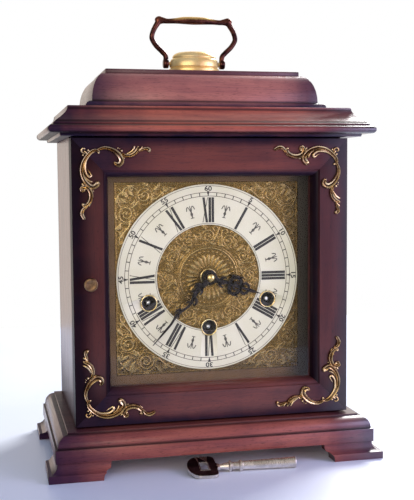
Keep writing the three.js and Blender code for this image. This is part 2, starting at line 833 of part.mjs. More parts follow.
// One cast mount, drawn for the top left corner from its outer corner: u runs along the rail and v
// down the stile. A big C scroll lies across the corner with a smaller one inside it; a lobed leaf
// runs out along the rail, and a C with a leaf tip down the stile.
function cornerMount() {
  const drawnLength = 54;
  const rise = 2.4;
  const strokes = [
    [[10.9, 25.1, 1.2], [11.5, 26.8, 1.9], [7.6, 29.2, 1.6], [3.2, 26.4, 1.4], [0.3, 21.1, 1.3],
      [-0.2, 14, 1.3], [3.5, 6.5, 1.1], [8.4, 2, 1], [12.6, 2.6, 1]],
    [[11.1, 1.8, 0.9], [16.8, -0.2, 1.1], [23.3, 1.3, 1.4], [28.5, 5.7, 1.8], [29.5, 10.6, 1.8],
      [25.2, 11.4, 1.2]],
    [[10.3, 2.3, 0.8], [4.5, 7.3, 0.9], [2.4, 14.5, 0.9], [3.9, 20.2, 0.9], [7, 20.4, 0.8]],
    [[1.2, 20.5, 0.6], [5.8, 24.8, 0.7], [9.6, 26.2, 0.7]],
    [[29.4, 5.2, 0.9], [33, 5.8, 1.2], [38.4, 5.1, 1.3], [42.1, 1.7, 1.3], [43.2, -1.4, 1]],
    [[34.4, 5, 0.7], [38.2, 2, 0.8], [40.2, -1.4, 0.7]],
    [[42.4, 1.9, 0.8], [46, 1.2, 0.8], [50.4, 0.4, 1.2], [51.4, 2.2, 1.3]],
    [[43.6, 1.4, 0.7], [46.2, -1.2, 0.8]],
    [[1.5, 31.6, 1.4], [0.3, 29.4, 1], [4.7, 30.7, 1.4], [6.4, 36.7, 1.5], [3.7, 42.4, 1.2],
      [0.4, 43.2, 1.3]],
    [[4.9, 41.6, 0.8], [0.8, 46, 1], [-0.6, 49.5, 1.3], [1.3, 53.4, 0.9]],
    [[5.2, 5.6, 0.8], [0.4, 3, 0.8], [0.6, 0.4, 0.8], [3, 0.6, 0.7]],
  ];
  const bosses = [[1.8, 31.3, 1.5], [0.4, 42.6, 1.4], [11.6, 26.6, 1.9], [51.3, 1.9, 1.4],
    [30.2, 1.9, 1.2], [5, 1.4, 1.1], [1, 5.3, 1.1]];
  const ties = [[[7, 28.8, 0.9], [4.7, 31, 0.9]], [[26.4, 3.4, 0.8], [30.2, 1.9, 0.8]],
    [[30.2, 1.9, 0.8], [31, 5.2, 0.8]], [[5, 1.4, 0.8], [7.6, 2.6, 0.8]],
    [[1, 5.3, 0.8], [3.6, 6.4, 0.8]]];
  const solids = [
    ...[...strokes, ...ties].map((stations) => scrollBar(stations, rise)),
    ...bosses.map(([u, v, radius]) => boss(u, v, radius, radius * 1.3)),
  ];
  const slivers = 0.02; // crossing bars leave edges shorter than this, which are taken out
  const mount = fromManifold(toManifold(join(...solids)).simplify(slivers));
  const scale = mountLength / drawnLength;
  mount.scale(scale, scale, -scale);
  return mount;
}

// The four are castings of one pattern, each turned a quarter turn clockwise from the one before.
function makeMounts(group) {
  const reach = caseHalf - mountFromEdge;
  const highEdge = doorTop - mountFromEdge;
  const lowEdge = doorBottom + mountFromEdge;
  const corners = [
    ["corner_mount_top_left", -reach, highEdge], ["corner_mount_top_right", reach, highEdge],
    ["corner_mount_bottom_right", reach, lowEdge], ["corner_mount_bottom_left", -reach, lowEdge],
  ];
  corners.forEach(([name, x, z], quarterTurns) => {
    const mount = cornerMount();
    mount.rotateY(quarterTurns * Math.PI / 2);
    mount.translate(x, 0, z);
    addPiece(group, name, mount, antiqueBrass);
  });
}

// ---------------------------------------------------------------- hinges and catch

const hingeAxisX = caseHalf + knuckleRadius + runningGap;
const hingeAxisY = doorThickness + doorCaseGap / 2;

// One butt hinge. The case leaf has the two outer knuckles and the pin, the door leaf the middle one.
function hingeLeaf(middle, onDoor) {
  const [y0, y1] = onDoor
    ? [doorThickness - hingeLeafThickness, doorThickness]
    : [sideFront, sideFront + hingeLeafThickness];
  const [low, high] = [middle - hingeHeight / 2, middle + hingeHeight / 2];
  const third = hingeHeight / 3;
  const spans = onDoor
    ? [[low + third + runningGap / 2, high - third - runningGap / 2]]
    : [[low, low + third - runningGap / 2], [high - third + runningGap / 2, high]];
  const leaf = box(caseHalf - hingeLeafWidth, caseHalf, y0, y1, low, high);
  const knuckles = spans.flatMap(([z0, z1]) => [
    box(caseHalf - 1, hingeAxisX, y0, y1, z0, z1),
    barAlongZ(knuckleRadius, z0, z1, hingeAxisX, hingeAxisY, 10),
  ]);
  const whole = join(leaf, ...knuckles);
  if (onDoor) {
    return cut(whole, barAlongZ(hingePinRadius + runningGap, low, high, hingeAxisX, hingeAxisY, 12));
  }
  return join(whole, barAlongZ(hingePinRadius, low + 1, high - 1, hingeAxisX, hingeAxisY, 12));
}

function makeHinges(caseGroup, doorGroup) {
  const [low, high] = hingeHeights();
  for (const [place, z] of [["lower", low], ["upper", high]]) {
    addPiece(caseGroup, `${place}_hinge_case_leaf`, hingeLeaf(z, false), polishedBrass);
    addPiece(doorGroup, `${place}_hinge_door_leaf`, hingeLeaf(z, true), polishedBrass);
  }
}

// The ball catch sits in the left side's front edge, its ball just short of the door.
function makeCatch(group) {
  const ball = doorCaseGap * 0.4;
  const profile = [[0, -ball], [catchRadius * 0.5, 0], [catchRadius, 0], [catchRadius, catchLength],
    [0, catchLength]];
  const body = turnedAlongY(profile, 12);
  body.translate(-caseHalf + sideThickness / 2, sideFront, catchHeight());
  addPiece(group, "ball_catch", body, steel);
}

// ---------------------------------------------------------------- back door

const backDoorFront = caseDepth - backDoorThickness;
const backDoorMiddleY = caseDepth - backDoorThickness / 2;
const backEdgeX = sideInner - backDoorGap - backDoorThickness / 2;
const backDoorBottom = caseFloor + pivotPlateThickness + backDoorGap;
const backDoorTop = caseCeiling - pivotPlateThickness - backDoorGap;

// Sound slots: upright, with round ends, in a fan that is longest in the middle.
function soundSlot(x, halfLength) {
  const slot = new THREE.Path();
  const low = dialCentre - halfLength;
  const high = dialCentre + halfLength;
  slot.moveTo(x - slotHalfWidth, low);
  slot.absarc(x, high, slotHalfWidth, Math.PI, 0, true);
  slot.absarc(x, low, slotHalfWidth, 0, -Math.PI, true);
  return slot;
}

function makeBackDoor(caseGroup, doorGroup) {
  const freeEdge = -sideInner + backDoorGap;
  const face = rectangleShape(freeEdge, backEdgeX, backDoorBottom, backDoorTop);
  for (let slot = -slotsEachSide; slot <= slotsEachSide; slot += 1) {
    face.holes.push(soundSlot(slot * slotSpacing, slotHalfLength - slotFall * slot * slot));
  }
  const panel = plateAlongY(face, backDoorFront, caseDepth, 2);
  const roundEdge = barAlongZ(
    backDoorThickness / 2, backDoorBottom, backDoorTop, backEdgeX, backDoorMiddleY, 16,
  );
  const pinHole = backPinRadius + runningGap;
  const pinDepth = backPinLength + runningGap;
  const holes = [[backDoorBottom - 1, backDoorBottom + pinDepth], [backDoorTop - pinDepth, backDoorTop + 1]]
    .map(([z0, z1]) => barAlongZ(pinHole, z0, z1, backEdgeX, backDoorMiddleY, 12));
  const notch = barAlongY(fingerNotchRadius, backDoorFront - 1, caseDepth + 1, freeEdge, dialCentre, 20);
  addPiece(doorGroup, "back_door", cut(join(panel, roundEdge), ...holes, notch), mahogany);
  for (const [place, z0, z1, pinLow, pinHigh] of [
    ["lower", caseFloor, caseFloor + pivotPlateThickness, caseFloor, backDoorBottom + backPinLength],
    ["upper", caseCeiling - pivotPlateThickness, caseCeiling, backDoorTop - backPinLength, caseCeiling],
  ]) {
    const plate = box(
      backEdgeX - pivotPlateLength, backEdgeX + backDoorThickness / 2,
      backDoorMiddleY - pivotPlateHalfDepth, backDoorMiddleY + pivotPlateHalfDepth, z0, z1,
    );
    const pin = barAlongZ(backPinRadius, pinLow, pinHigh, backEdgeX, backDoorMiddleY, 12);
    addPiece(caseGroup, `back_pivot_${place}`, join(plate, pin), polishedBrass);
  }
}

// ---------------------------------------------------------------- dial

const dialFace = 0; // the dial group's own y = 0 is the face of the dial plate
const ringFace = dialFace - chapterThickness;

function makeDial(group) {
  const plateHole = bushNeckRadius + seatGap;
  const plate = rectangleShape(
    -sightHalfWidth - dialPlateCover, sightHalfWidth + dialPlateCover,
    sightBottom - dialPlateCover - dialCentre, sightTop + dialPlateCover - dialCentre,
  );
  plate.holes.push(circleHole(plateHole, 0, 0));
  for (const [x, z] of Object.values(windingPlaces)) {
    plate.holes.push(circleHole(plateHole, x, z));
  }
  addPiece(group, "dial_plate", plateAlongY(plate, dialFace, dialPlateThickness, 7), dialBrass);
  const ring = turnedAlongY([
    [chapterInnerRadius, ringFace], [chapterOuterRadius, ringFace],
    [chapterOuterRadius, dialFace], [chapterInnerRadius, dialFace], [chapterInnerRadius, ringFace],
  ], 52);
  const holes = Object.values(windingPlaces).map(
    ([x, z]) => barAlongY(plateHole, ringFace - 1, dialFace + 1, x, z, 16),
  );
  addPiece(group, "chapter_ring", cut(ring, ...holes), ivory);
  for (const [place, [x, z]] of Object.entries(windingPlaces)) {
    addPiece(group, `winding_bush_${place}`, bush(ringFace, x, z), polishedBrass);
  }
  addPiece(group, "centre_bush", bush(dialFace, 0, 0), polishedBrass);
}

// A turned bush: a rounded flange on the face and a neck through the plate.
function bush(face, x, z) {
  const ring = turnedAlongY([
    [bushHoleRadius, face - bushFlange * 0.5],
    [bushHoleRadius + 0.6, face - bushFlange],
    [bushRadius, face],
    [bushNeckRadius, face],
    [bushNeckRadius, dialFace + dialPlateThickness],
    [bushHoleRadius, dialFace + dialPlateThickness],
    [bushHoleRadius, face - bushFlange * 0.5],
  ], 16);
  ring.translate(x, 0, z);
  return ring;
}

// ---------------------------------------------------------------- hands

// A hand is drawn pointing up. stations are [along, middle, half width] in parts of its length.
function handOutline(stations, length) {
  const right = stations.map(([along, middle, half]) => [(middle + half) * length, along * length]);
  const left = stations.map(([along, middle, half]) => [(middle - half) * length, along * length]);
  return [...right, ...left.reverse()];
}

function handPlate(stations, piercings, length, hubRadius, hole, y0) {
  const outline = handOutline(stations, length);
  const y1 = y0 + handThickness;
  const blade = prismAlongY(outline, y0, y1);
  const hub = barAlongY(hubRadius, y0, y1, 0, 0, 24);
  const tools = piercings.map((piercing) => prismAlongY(handOutline(piercing, length), y0 - 1, y1 + 1));
  tools.push(barAlongY(hole, y0 - 1, y1 + 1, 0, 0, 16));
  return cut(join(blade, hub), ...tools);
}

// A serpentine hour hand: a leafed stem, a broad pierced head and a point.
function hourHand() {
  const stations = [
    [0.05, 0, 0.06], [0.16, 0, 0.05], [0.22, 0.01, 0.075], [0.28, 0, 0.045], [0.36, -0.01, 0.035],
    [0.41, 0, 0.09], [0.46, 0, 0.16], [0.54, 0, 0.17], [0.6, 0, 0.12], [0.65, 0, 0.125],
    [0.72, 0, 0.085], [0.78, 0, 0.04], [0.88, 0, 0.022], [1, 0, 0.006],
  ];
  const piercings = [
    [[0.46, 0.075, 0.02], [0.5, 0.085, 0.045], [0.55, 0.075, 0.03]],
    [[0.46, -0.075, 0.02], [0.5, -0.085, 0.045], [0.55, -0.075, 0.03]],
    [[0.62, 0, 0.02], [0.66, 0, 0.045], [0.7, 0, 0.015]],
  ];
  const hole = hourPipeRadius + seatGap;
  return handPlate(stations, piercings, hourHandLength, hole + 1.4, hole, -hourHandProud);
}

// A serpentine minute hand: its body winds from side to side and thins towards the point.
function minuteHand() {
  const stations = [
    [0.02, 0, 0.035], [0.1, 0.004, 0.03], [0.15, 0.012, 0.045], [0.2, 0.02, 0.03], [0.25, 0.016, 0.022],
    [0.31, -0.004, 0.038], [0.37, -0.014, 0.05], [0.42, -0.01, 0.028], [0.48, 0.004, 0.022],
    [0.54, 0.012, 0.032], [0.6, 0.006, 0.02], [0.7, 0, 0.013], [0.85, 0, 0.009], [1, 0, 0.003],
  ];
  const piercings = [[[0.33, -0.008, 0.008], [0.37, -0.013, 0.022], [0.4, -0.01, 0.006]]];
  const hole = centreArborRadius + seatGap;
  return handPlate(stations, piercings, minuteHandLength, cannonRadius + 1.2, hole, -minuteHandProud);
}

// The hour hand and minute hand stand in the groups that turn, so each piece there is turned with it.
function clockwise(group, degrees) {
  group.rotation.y = THREE.MathUtils.degToRad(degrees);
}

const minuteAngle = (360 * shownMinutes) / 60;
const hourAngle = (360 * (shownHours + shownMinutes / 60)) / 12;

function makeHands(hourGroup, minuteGroup) {
  addPiece(hourGroup, "hour_hand", hourHand(), blackened);
  addPiece(minuteGroup, "minute_hand", minuteHand(), blackened);
  const back = -minuteHandProud - runningGap;
  const bore = centreArborRadius + seatGap;
  const nut = turnedAlongY([
    [0, back - 1.7], [nutRadius * 0.7, back - 1.5], [nutRadius, back - 0.8], [nutRadius, back],
    [bore, back], [bore, back - 0.9], [0, back - 0.9],
  ], 16);
  addPiece(minuteGroup, "hand_nut", nut, polishedBrass);
}

// ---------------------------------------------------------------- movement

// Setbacks behind the door become the dial group's own y.
const fromDial = (setback) => setback - dialSetback;
const frontPlateY = fromDial(frontPlateSetback);
const frontPlateBack = frontPlateY + plateThickness;
const backPlateY = fromDial(backPlateFront);
const movementEnd = fromDial(movementBack);
const secondPlace = [secondArborX, secondArborZ];
const goingDistance = Math.hypot(secondArborX, secondArborZ + windingCentreDrop);
const secondDistance = Math.hypot(secondArborX, secondArborZ);
const goingModule = (2 * goingDistance) / (greatWheelTeeth + secondPinionTeeth);
const secondModule = (2 * secondDistance) / (secondWheelTeeth + centrePinionTeeth);
const minuteDistance = Math.hypot(minuteWheelX, minuteWheelZ);
const cannonModule = (2 * minuteDistance) / (cannonTeeth + minuteWheelTeeth);
const hourModule = (2 * minuteDistance) / (minutePinionTeeth + hourWheelTeeth);
const minutePlace = [minuteWheelX, minuteWheelZ];
const hourWheelY = frontPlateY - hourWheelAhead;
const minuteWheelY = frontPlateY - minuteWheelAhead;
const arborHoleRadius = arborRadius + runningGap;
const pivotHoleRadius = centreArborRadius + runningGap;

function plateShape() {
  const shape = rectangleShape(-plateHalfWidth, plateHalfWidth, -plateBelowCentre, plateAboveCentre);
  for (const [x, z] of Object.values(windingPlaces)) {
    shape.holes.push(circleHole(arborHoleRadius, x, z));
  }
  for (const [x, z] of [[0, 0], secondPlace]) {
    shape.holes.push(circleHole(pivotHoleRadius, x, z));
  }
  return shape;
}

function pillarPlaces() {
  const x = plateHalfWidth - pillarFromEdge;
  const high = plateAboveCentre - pillarFromEdge;
  const low = pillarFromEdge - plateBelowCentre;
  return [[-x, high], [x, high], [-x, low], [x, low]];
}

function makePlates(group) {
  const front = plateAlongY(plateShape(), frontPlateY, frontPlateBack, 6);
  const stud = barAlongY(1, hourWheelY - 0.6, frontPlateY + 0.5, minuteWheelX, minuteWheelZ, 10);
  addPiece(group, "movement_front_plate", join(front, stud), plateBrass);
  const back = plateAlongY(plateShape(), backPlateY, movementEnd, 6);
  const pillars = pillarPlaces().map(
    ([x, z]) => barAlongY(pillarRadius, frontPlateBack, backPlateY + 0.5, x, z, 8),
  );
  const pivotY = fromDial(hammerPivotSetback);
  const earZ = -hammerPivotBelowCentre;
  const half = hammerEarHalf;
  const ears = hammerEars().map((x) => cut(
    box(x, x + hammerEarThickness, movementEnd - 0.5, pivotY + half, earZ - half, earZ + half),
    barAlongX(hammerArborRadius + runningGap, x - 1, x + hammerEarThickness + 1, pivotY, earZ, 12),
  ));
  addPiece(group, "movement_back_plate", join(back, ...pillars, ...ears), plateBrass);
}

const angleTo = (from, to) => Math.atan2(to[1] - from[1], to[0] - from[0]);

// A spring barrel, shut round its spring, with the great wheel at its front.
function barrel(place, outline) {
  const front = fromDial(greatWheelSetback);
  const bore = arborHoleRadius;
  const back = backPlateY - barrelEndGap;
  const drum = barAlongY(barrelRadius, front + greatWheelThickness / 2, back, 0, 0, 20);
  const wheel = toothedWheel(outline, 0, front, front + greatWheelThickness, 0, 0);
  const whole = cut(join(drum, wheel), barAlongY(bore, front - 1, back + 1, 0, 0, 12));
  whole.translate(place[0], 0, place[1]);
  return whole;
}

// A winding arbor: squared for the key in front, with its ratchet wheel behind the dial board.
function windingArbor([x, z]) {
  const tip = arborTipDepth;
  const half = arborSquare / 2;
  const ratchetY = fromDial(boardBack) + ratchetBehindBoard;
  const square = box(x - half, x + half, tip, ratchetY + 1, z - half, z + half);
  const round = barAlongY(arborRadius, ratchetY, movementEnd + arborTail, x, z, 16);
  const ratchet = [];
  for (let tooth = 0; tooth < ratchetTeeth; tooth += 1) {
    const angle = (2 * Math.PI * tooth) / ratchetTeeth;
    for (const [radius, lean] of [[ratchetRadius - 1.5, 0], [ratchetRadius, 0.04]]) {
      ratchet.push([radius * Math.cos(angle + lean), radius * Math.sin(angle + lean)]);
    }
  }
  const wheel = prismAlongY(ratchet.map(([u, v]) => [u + x, v + z]), ratchetY, ratchetY + ratchetThickness);
  return join(square, round, wheel);
}

function makeBarrels(group) {
  const goingAngle = angleTo(windingPlaces.centre, secondPlace);
  const goingOutline = toothedOutline(greatWheelTeeth, goingModule, goingAngle);
  addPiece(group, "going_barrel", barrel(windingPlaces.centre, goingOutline), plateBrass);
  const restingModule = (2 * restingWheelRadius) / restingWheelTeeth;
  const resting = toothedOutline(restingWheelTeeth, restingModule, 0);
  addPiece(group, "strike_barrel", barrel(windingPlaces.left, resting), plateBrass);
  addPiece(group, "chime_barrel", barrel(windingPlaces.right, resting), plateBrass);
  addPiece(group, "going_winding_arbor", windingArbor(windingPlaces.centre), steel);
  addPiece(group, "strike_winding_arbor", windingArbor(windingPlaces.left), steel);
  addPiece(group, "chime_winding_arbor", windingArbor(windingPlaces.right), steel);
}

// An arbor that runs through both plates, thicker between them.
function arborBetweenPlates(x, z) {
  const pivot = barAlongY(centreArborRadius, frontPlateY + 0.2, movementEnd - 0.2, x, z, 12);
  const body = barAlongY(
    centreArborRadius + 0.6, frontPlateBack + runningGap, backPlateY - runningGap, x, z, 12,
  );
  return join(pivot, body);
}

function makeSecondWheel(group) {
  const [x, z] = secondPlace;
  const wheelY = fromDial(secondWheelSetback);
  const wheelOutline = toothedOutline(secondWheelTeeth, secondModule, angleTo(secondPlace, [0, 0]));
  const wheel = toothedWheel(wheelOutline, 0, wheelY, wheelY + wheelThickness, x, z);
  const gapAngle = angleTo(secondPlace, windingPlaces.centre) + Math.PI / secondPinionTeeth;
  const pinionOutline = toothedOutline(secondPinionTeeth, goingModule, gapAngle, 0.9);
  const pinionY = fromDial(greatWheelSetback) + greatWheelThickness / 2 - pinionLength / 2;
  const pinion = toothedWheel(pinionOutline, 0, pinionY, pinionY + pinionLength, x, z);
  addPiece(group, "second_wheel", join(arborBetweenPlates(x, z), wheel, pinion), plateBrass);
}

// The centre arbor with its pinion between the plates, and the cannon pinion in front of them.
function makeCentreArbor(group) {
  const pinionY = fromDial(secondWheelSetback) + wheelThickness / 2 - pinionLength / 2;
  const gapAngle = angleTo([0, 0], secondPlace) + Math.PI / centrePinionTeeth;
  const pinionOutline = toothedOutline(centrePinionTeeth, secondModule, gapAngle, 0.9);
  const pinion = toothedWheel(pinionOutline, 0, pinionY, pinionY + pinionLength, 0, 0);
  const cannonAngle = angleTo([0, 0], minutePlace) + Math.PI / cannonTeeth;
  const cannonOutline = toothedOutline(cannonTeeth, cannonModule, cannonAngle, 0.9);
  const cannonY = minuteWheelY - 0.3;
  const cannonTeethEnd = cannonY + motionWheelThickness + 0.6;
  const cannon = toothedWheel(cannonOutline, 0, cannonY, cannonTeethEnd, 0, 0);
  const shoulder = -minuteHandProud + handThickness + runningGap;
  const pipe = barAlongY(cannonRadius, shoulder, cannonTeethEnd, 0, 0, 16);
  const thread = barAlongY(
    centreArborRadius, -minuteHandProud - runningGap - 0.6, frontPlateBack, 0, 0, 12,
  );
  const whole = join(arborBetweenPlates(0, 0), pinion, cannon, pipe, thread);
  whole.rotateY(-THREE.MathUtils.degToRad(minuteAngle));
  addPiece(group, "centre_arbor", whole, plateBrass);
}

function makeMotionWork(caseGroup, hourGroup) {
  const [x, z] = minutePlace;
  const bore = 1 + runningGap;
  const wheelAngle = angleTo(minutePlace, [0, 0]);
  const wheelOutline = toothedOutline(minuteWheelTeeth, cannonModule, wheelAngle);
  const wheel = toothedWheel(wheelOutline, 0, minuteWheelY, minuteWheelY + motionWheelThickness, x, z);
  const pinionAngle = wheelAngle + Math.PI / minutePinionTeeth;
  const pinionOutline = toothedOutline(minutePinionTeeth, hourModule, pinionAngle, 0.9);
  const pinion = toothedWheel(pinionOutline, 0, hourWheelY - 0.3, minuteWheelY + 0.5, x, z);
  const hole = barAlongY(bore, hourWheelY - 2, frontPlateY + 1, x, z, 12);
  addPiece(caseGroup, "minute_wheel", cut(join(wheel, pinion), hole), plateBrass);
  const hourOutline = toothedOutline(hourWheelTeeth, hourModule, angleTo([0, 0], minutePlace));
  const hourWheel = toothedWheel(hourOutline, 0, hourWheelY, hourWheelY + motionWheelThickness, 0, 0);
  hourWheel.rotateY(-THREE.MathUtils.degToRad(hourAngle));
  const pipeFront = -hourHandProud - 0.4;
  const pipe = barAlongY(hourPipeRadius, pipeFront, hourWheelY + 0.6, 0, 0, 16);
  const pipeBore = barAlongY(cannonRadius + runningGap, pipeFront - 1, hourWheelY + 2, 0, 0, 16);
  addPiece(hourGroup, "hour_wheel", cut(join(hourWheel, pipe), pipeBore), plateBrass);
}

// ---------------------------------------------------------------- balance

function makeBalance(group) {
  const floor = plateAboveCentre;
  const plateTop = floor + bridgeThickness;
  const middleY = (frontPlateY + movementEnd) / 2;
  const plate = box(
    bridgeX - bridgeHalfWidth, bridgeX + bridgeHalfWidth, frontPlateY, movementEnd, floor, plateTop,
  );
  const postY = middleY + balanceRadius + cockPostOut;
  const armZ = plateTop + cockHeight;
  const post = box(bridgeX - 4, bridgeX + 4, postY - 3, postY + 3, plateTop - 0.5, armZ);
  const arm = box(bridgeX - 3, bridgeX + 3, middleY - 3, postY + 3, armZ - 0.5, armZ + bridgeThickness);
  addPiece(group, "balance_bridge", join(plate, post, arm), plateBrass);
  const wheelZ = plateTop + balanceHeight;
  const ring = [
    [balanceRadius - balanceRim, wheelZ - 0.8], [balanceRadius, wheelZ - 0.8], [balanceRadius, wheelZ + 0.8],
    [balanceRadius - balanceRim, wheelZ + 0.8], [balanceRadius - balanceRim, wheelZ - 0.8],
  ];
  const rim = turnedAlongY(ring, 18);
  rim.rotateX(Math.PI / 2);
  rim.translate(bridgeX, middleY, 0);
  const spokeReach = balanceRadius - 0.8;
  const spokes = [
    box(bridgeX - spokeReach, bridgeX + spokeReach, middleY - 0.8, middleY + 0.8, wheelZ - 0.6, wheelZ + 0.6),
    box(bridgeX - 0.8, bridgeX + 0.8, middleY - spokeReach, middleY + spokeReach, wheelZ - 0.6, wheelZ + 0.6),
  ];
  const staff = barAlongZ(0.9, plateTop + runningGap, armZ - 0.5 - runningGap, bridgeX, middleY, 10);
  addPiece(group, "balance_wheel", join(rim, ...spokes, staff), polishedBrass);
}

// ---------------------------------------------------------------- chime

function hammerPlaces() {
  const first = (-(rodCount - 1) / 2) * hammerSpacing;
  return Array.from({ length: rodCount }, (_, i) => first + i * hammerSpacing);
}

function hammerEars() {
  const reach = (rodCount / 2) * hammerSpacing;
  return [-reach - hammerEarThickness, reach];
}

function rodHeight(i) {
  return caseFloor - dialCentre + rodAboveFloor + i * rodSpacing;
}

function makeChime(group) {
  const rodY = fromDial(rodSetback);
  const floor = caseFloor - dialCentre;
  const blockLeft = -sideInner + rodBlockFromSide;
  const blockTop = rodHeight(rodCount - 1) + 6;
  const half = rodBlockHalfDepth;
  const block = box(blockLeft, blockLeft + rodBlockWidth, rodY - half, rodY + half, floor, blockTop);
  const rodEnd = blockLeft + rodBlockWidth + rodLength;
  const rods = Array.from({ length: rodCount }, (_, i) => barAlongX(
    rodRadius, blockLeft + 2, rodEnd - rodShortening * i, rodY, rodHeight(i), 8,
  ));
  addPiece(group, "chime_rods", join(block, ...rods), iron);
  const pivotY = fromDial(hammerPivotSetback);
  const pivotZ = -hammerPivotBelowCentre;
  const [earLow, earHigh] = hammerEars();
  const arborEnd = earHigh + hammerEarThickness + hammerEndPlay;
  const arbor = barAlongX(hammerArborRadius, earLow - hammerEndPlay, arborEnd, pivotY, pivotZ, 12);
  const headBack = rodY - rodRadius - hammerRodGap;
  const hammers = hammerPlaces().flatMap((x, i) => {
    const z = rodHeight(i);
    return [
      box(x - 1, x + 1, pivotY - 1, pivotY + 1, z, pivotZ),
      barAlongY(hammerHeadRadius, pivotY - 4, headBack, x, z, 8),
    ];
  });
  addPiece(group, "chime_hammers", join(arbor, ...hammers), steel);
}

// ---------------------------------------------------------------- winding key

// The key lies along x with its bow to the left. Its own zero is the bow's outer end, on its axis.
function windingKey() {
  const half = keyBowThickness / 2;
  const shoulder = keyBowLength;
  const bowOutline = [
    ...arc(keyBowLength * 0.42, 0, keyBowLength * 0.42, keyBowWidth / 2, 90, 270, 10),
    ...arc(shoulder - 6, -keyBowWidth / 2 + 4, 4.6, 4, 270, 360, 3),
    [shoulder - 1, -4],
    [shoulder + 1.5, -2.4],
    [shoulder + 1.5, 2.4],
    [shoulder - 1, 4],
    ...arc(shoulder - 6, keyBowWidth / 2 - 4, 4.6, 4, 0, 90, 3),
  ];
  const rings = [-half, half].map((z) => bowOutline.map(([x, y]) => [x, y, z]));
  const bow = loft(rings, bowOutline);
  const window = box(
    keyBowLength * 0.42, keyBowLength * 0.42 + 6.4, -6, 6, -keyBowThickness, keyBowThickness,
  );
  const start = shoulder - 1.5;
  const ringOne = keyLength * 0.39;
  const ringTwo = keyLength * 0.49;
  const slim = keyBarrelRadius * 0.76;
  const shank = turnedAlongY([
    [0, start], [half, start], [slim * 0.8, ringOne - 2.6], [slim * 0.92, ringOne - 1.4],
    [keyBarrelRadius, ringOne - 0.8], [keyBarrelRadius, ringOne + 0.8], [slim * 0.9, ringOne + 1.4],
    [slim * 0.9, ringTwo - 1.6], [keyBarrelRadius, ringTwo - 0.9], [keyBarrelRadius, ringTwo + 0.9],
    [slim, ringTwo + 1.6], [keyBarrelRadius, keyLength - 1], [keyBarrelRadius - 0.5, keyLength],
    [0, keyLength],
  ], 14);
  shank.rotateZ(-Math.PI / 2);
  const side = keySocket / 2;
  const socket = box(keyLength - keySocketDepth, keyLength + 1, -side, side, -side, side);
  return cut(join(cut(bow, window), shank), socket);
}

function makeKey(parent) {
  const group = addGroup(parent, keyMiddleX, keyFrontSetback, keyBarrelRadius);
  group.rotation.z = THREE.MathUtils.degToRad(keyTurn);
  const key = windingKey();
  key.translate(-keyLength / 2, 0, 0);
  addPiece(group, "winding_key", key, nickel);
}

// ---------------------------------------------------------------- putting it together

const caseGroup = addGroup(clock);
makeBase(caseGroup);
makeSides(caseGroup);
makeBoards(caseGroup);
makeTop(caseGroup);
addPiece(caseGroup, "saddle_plate", saddleBody(), polishedBrass);
addPiece(clock, "handle", handleBody(), bronze);
const frontDoor = addGroup(clock);
makeDoor(frontDoor);
makeMounts(frontDoor);
makeHinges(caseGroup, frontDoor);
makeCatch(caseGroup);
const backDoorGroup = addGroup(clock);
makeBackDoor(caseGroup, backDoorGroup);
const dialGroup = addGroup(clock, 0, dialSetback, dialCentre);
makeDial(dialGroup);
const hourGroup = addGroup(dialGroup);
const minuteGroup = addGroup(dialGroup);
clockwise(hourGroup, hourAngle);
clockwise(minuteGroup, minuteAngle);
makeHands(hourGroup, minuteGroup);
makePlates(dialGroup);
makeBarrels(dialGroup);
makeSecondWheel(dialGroup);
makeCentreArbor(minuteGroup);
makeMotionWork(dialGroup, hourGroup);
makeBalance(dialGroup);
makeChime(dialGroup);
makeKey(clock);

// The origin is the bottom centre of the whole set, key included.
const reach = new THREE.Box3().setFromObject(clock, true);
clock.position.y = -(reach.min.y + reach.max.y) / 2;

export default clock;
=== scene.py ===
# A mahogany bracket clock with its swinging handle, embossed brass dial and winding key, drawn piece by
# piece from the floor up, as a case maker puts it together. Sizes are in millimetres in the clock's own
# measure: x to the right, y back from the face of the shut door, z up from the table.
import json
import math

import bmesh
import bpy
import numpy as np
from mathutils import Matrix, Vector

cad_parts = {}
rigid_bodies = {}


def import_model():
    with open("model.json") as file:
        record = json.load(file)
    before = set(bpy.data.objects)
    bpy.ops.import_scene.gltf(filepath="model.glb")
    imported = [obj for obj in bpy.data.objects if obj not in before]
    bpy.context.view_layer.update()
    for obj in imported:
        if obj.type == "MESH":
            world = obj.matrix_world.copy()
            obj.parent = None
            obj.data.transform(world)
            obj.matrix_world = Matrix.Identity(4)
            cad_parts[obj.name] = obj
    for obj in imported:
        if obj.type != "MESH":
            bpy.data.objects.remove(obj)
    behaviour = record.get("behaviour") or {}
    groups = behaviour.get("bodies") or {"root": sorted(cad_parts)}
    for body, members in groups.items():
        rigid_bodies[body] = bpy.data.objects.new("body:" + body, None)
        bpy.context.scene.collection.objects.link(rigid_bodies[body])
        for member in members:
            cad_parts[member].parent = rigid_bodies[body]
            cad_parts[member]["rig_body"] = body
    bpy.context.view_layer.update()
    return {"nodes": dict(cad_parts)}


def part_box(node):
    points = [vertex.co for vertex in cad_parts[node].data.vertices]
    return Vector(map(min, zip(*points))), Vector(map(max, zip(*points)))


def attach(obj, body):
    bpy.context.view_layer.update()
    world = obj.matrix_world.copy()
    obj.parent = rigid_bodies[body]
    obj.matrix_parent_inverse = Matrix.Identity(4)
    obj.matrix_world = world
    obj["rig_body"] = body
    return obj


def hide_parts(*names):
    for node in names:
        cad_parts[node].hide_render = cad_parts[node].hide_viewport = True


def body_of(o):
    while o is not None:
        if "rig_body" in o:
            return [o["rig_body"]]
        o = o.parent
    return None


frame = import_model()


# ------------------------------------------------------------------------------------------ bracket feet
# Four bracket feet of solid mahogany: each is one flared block with a cove under its top fillet, cut back
# to two wings whose ends are scooped. They are glued under the plinth. The wood is stained dark at the
# arrises, red in the open parts, and lacquered to a satin gloss.

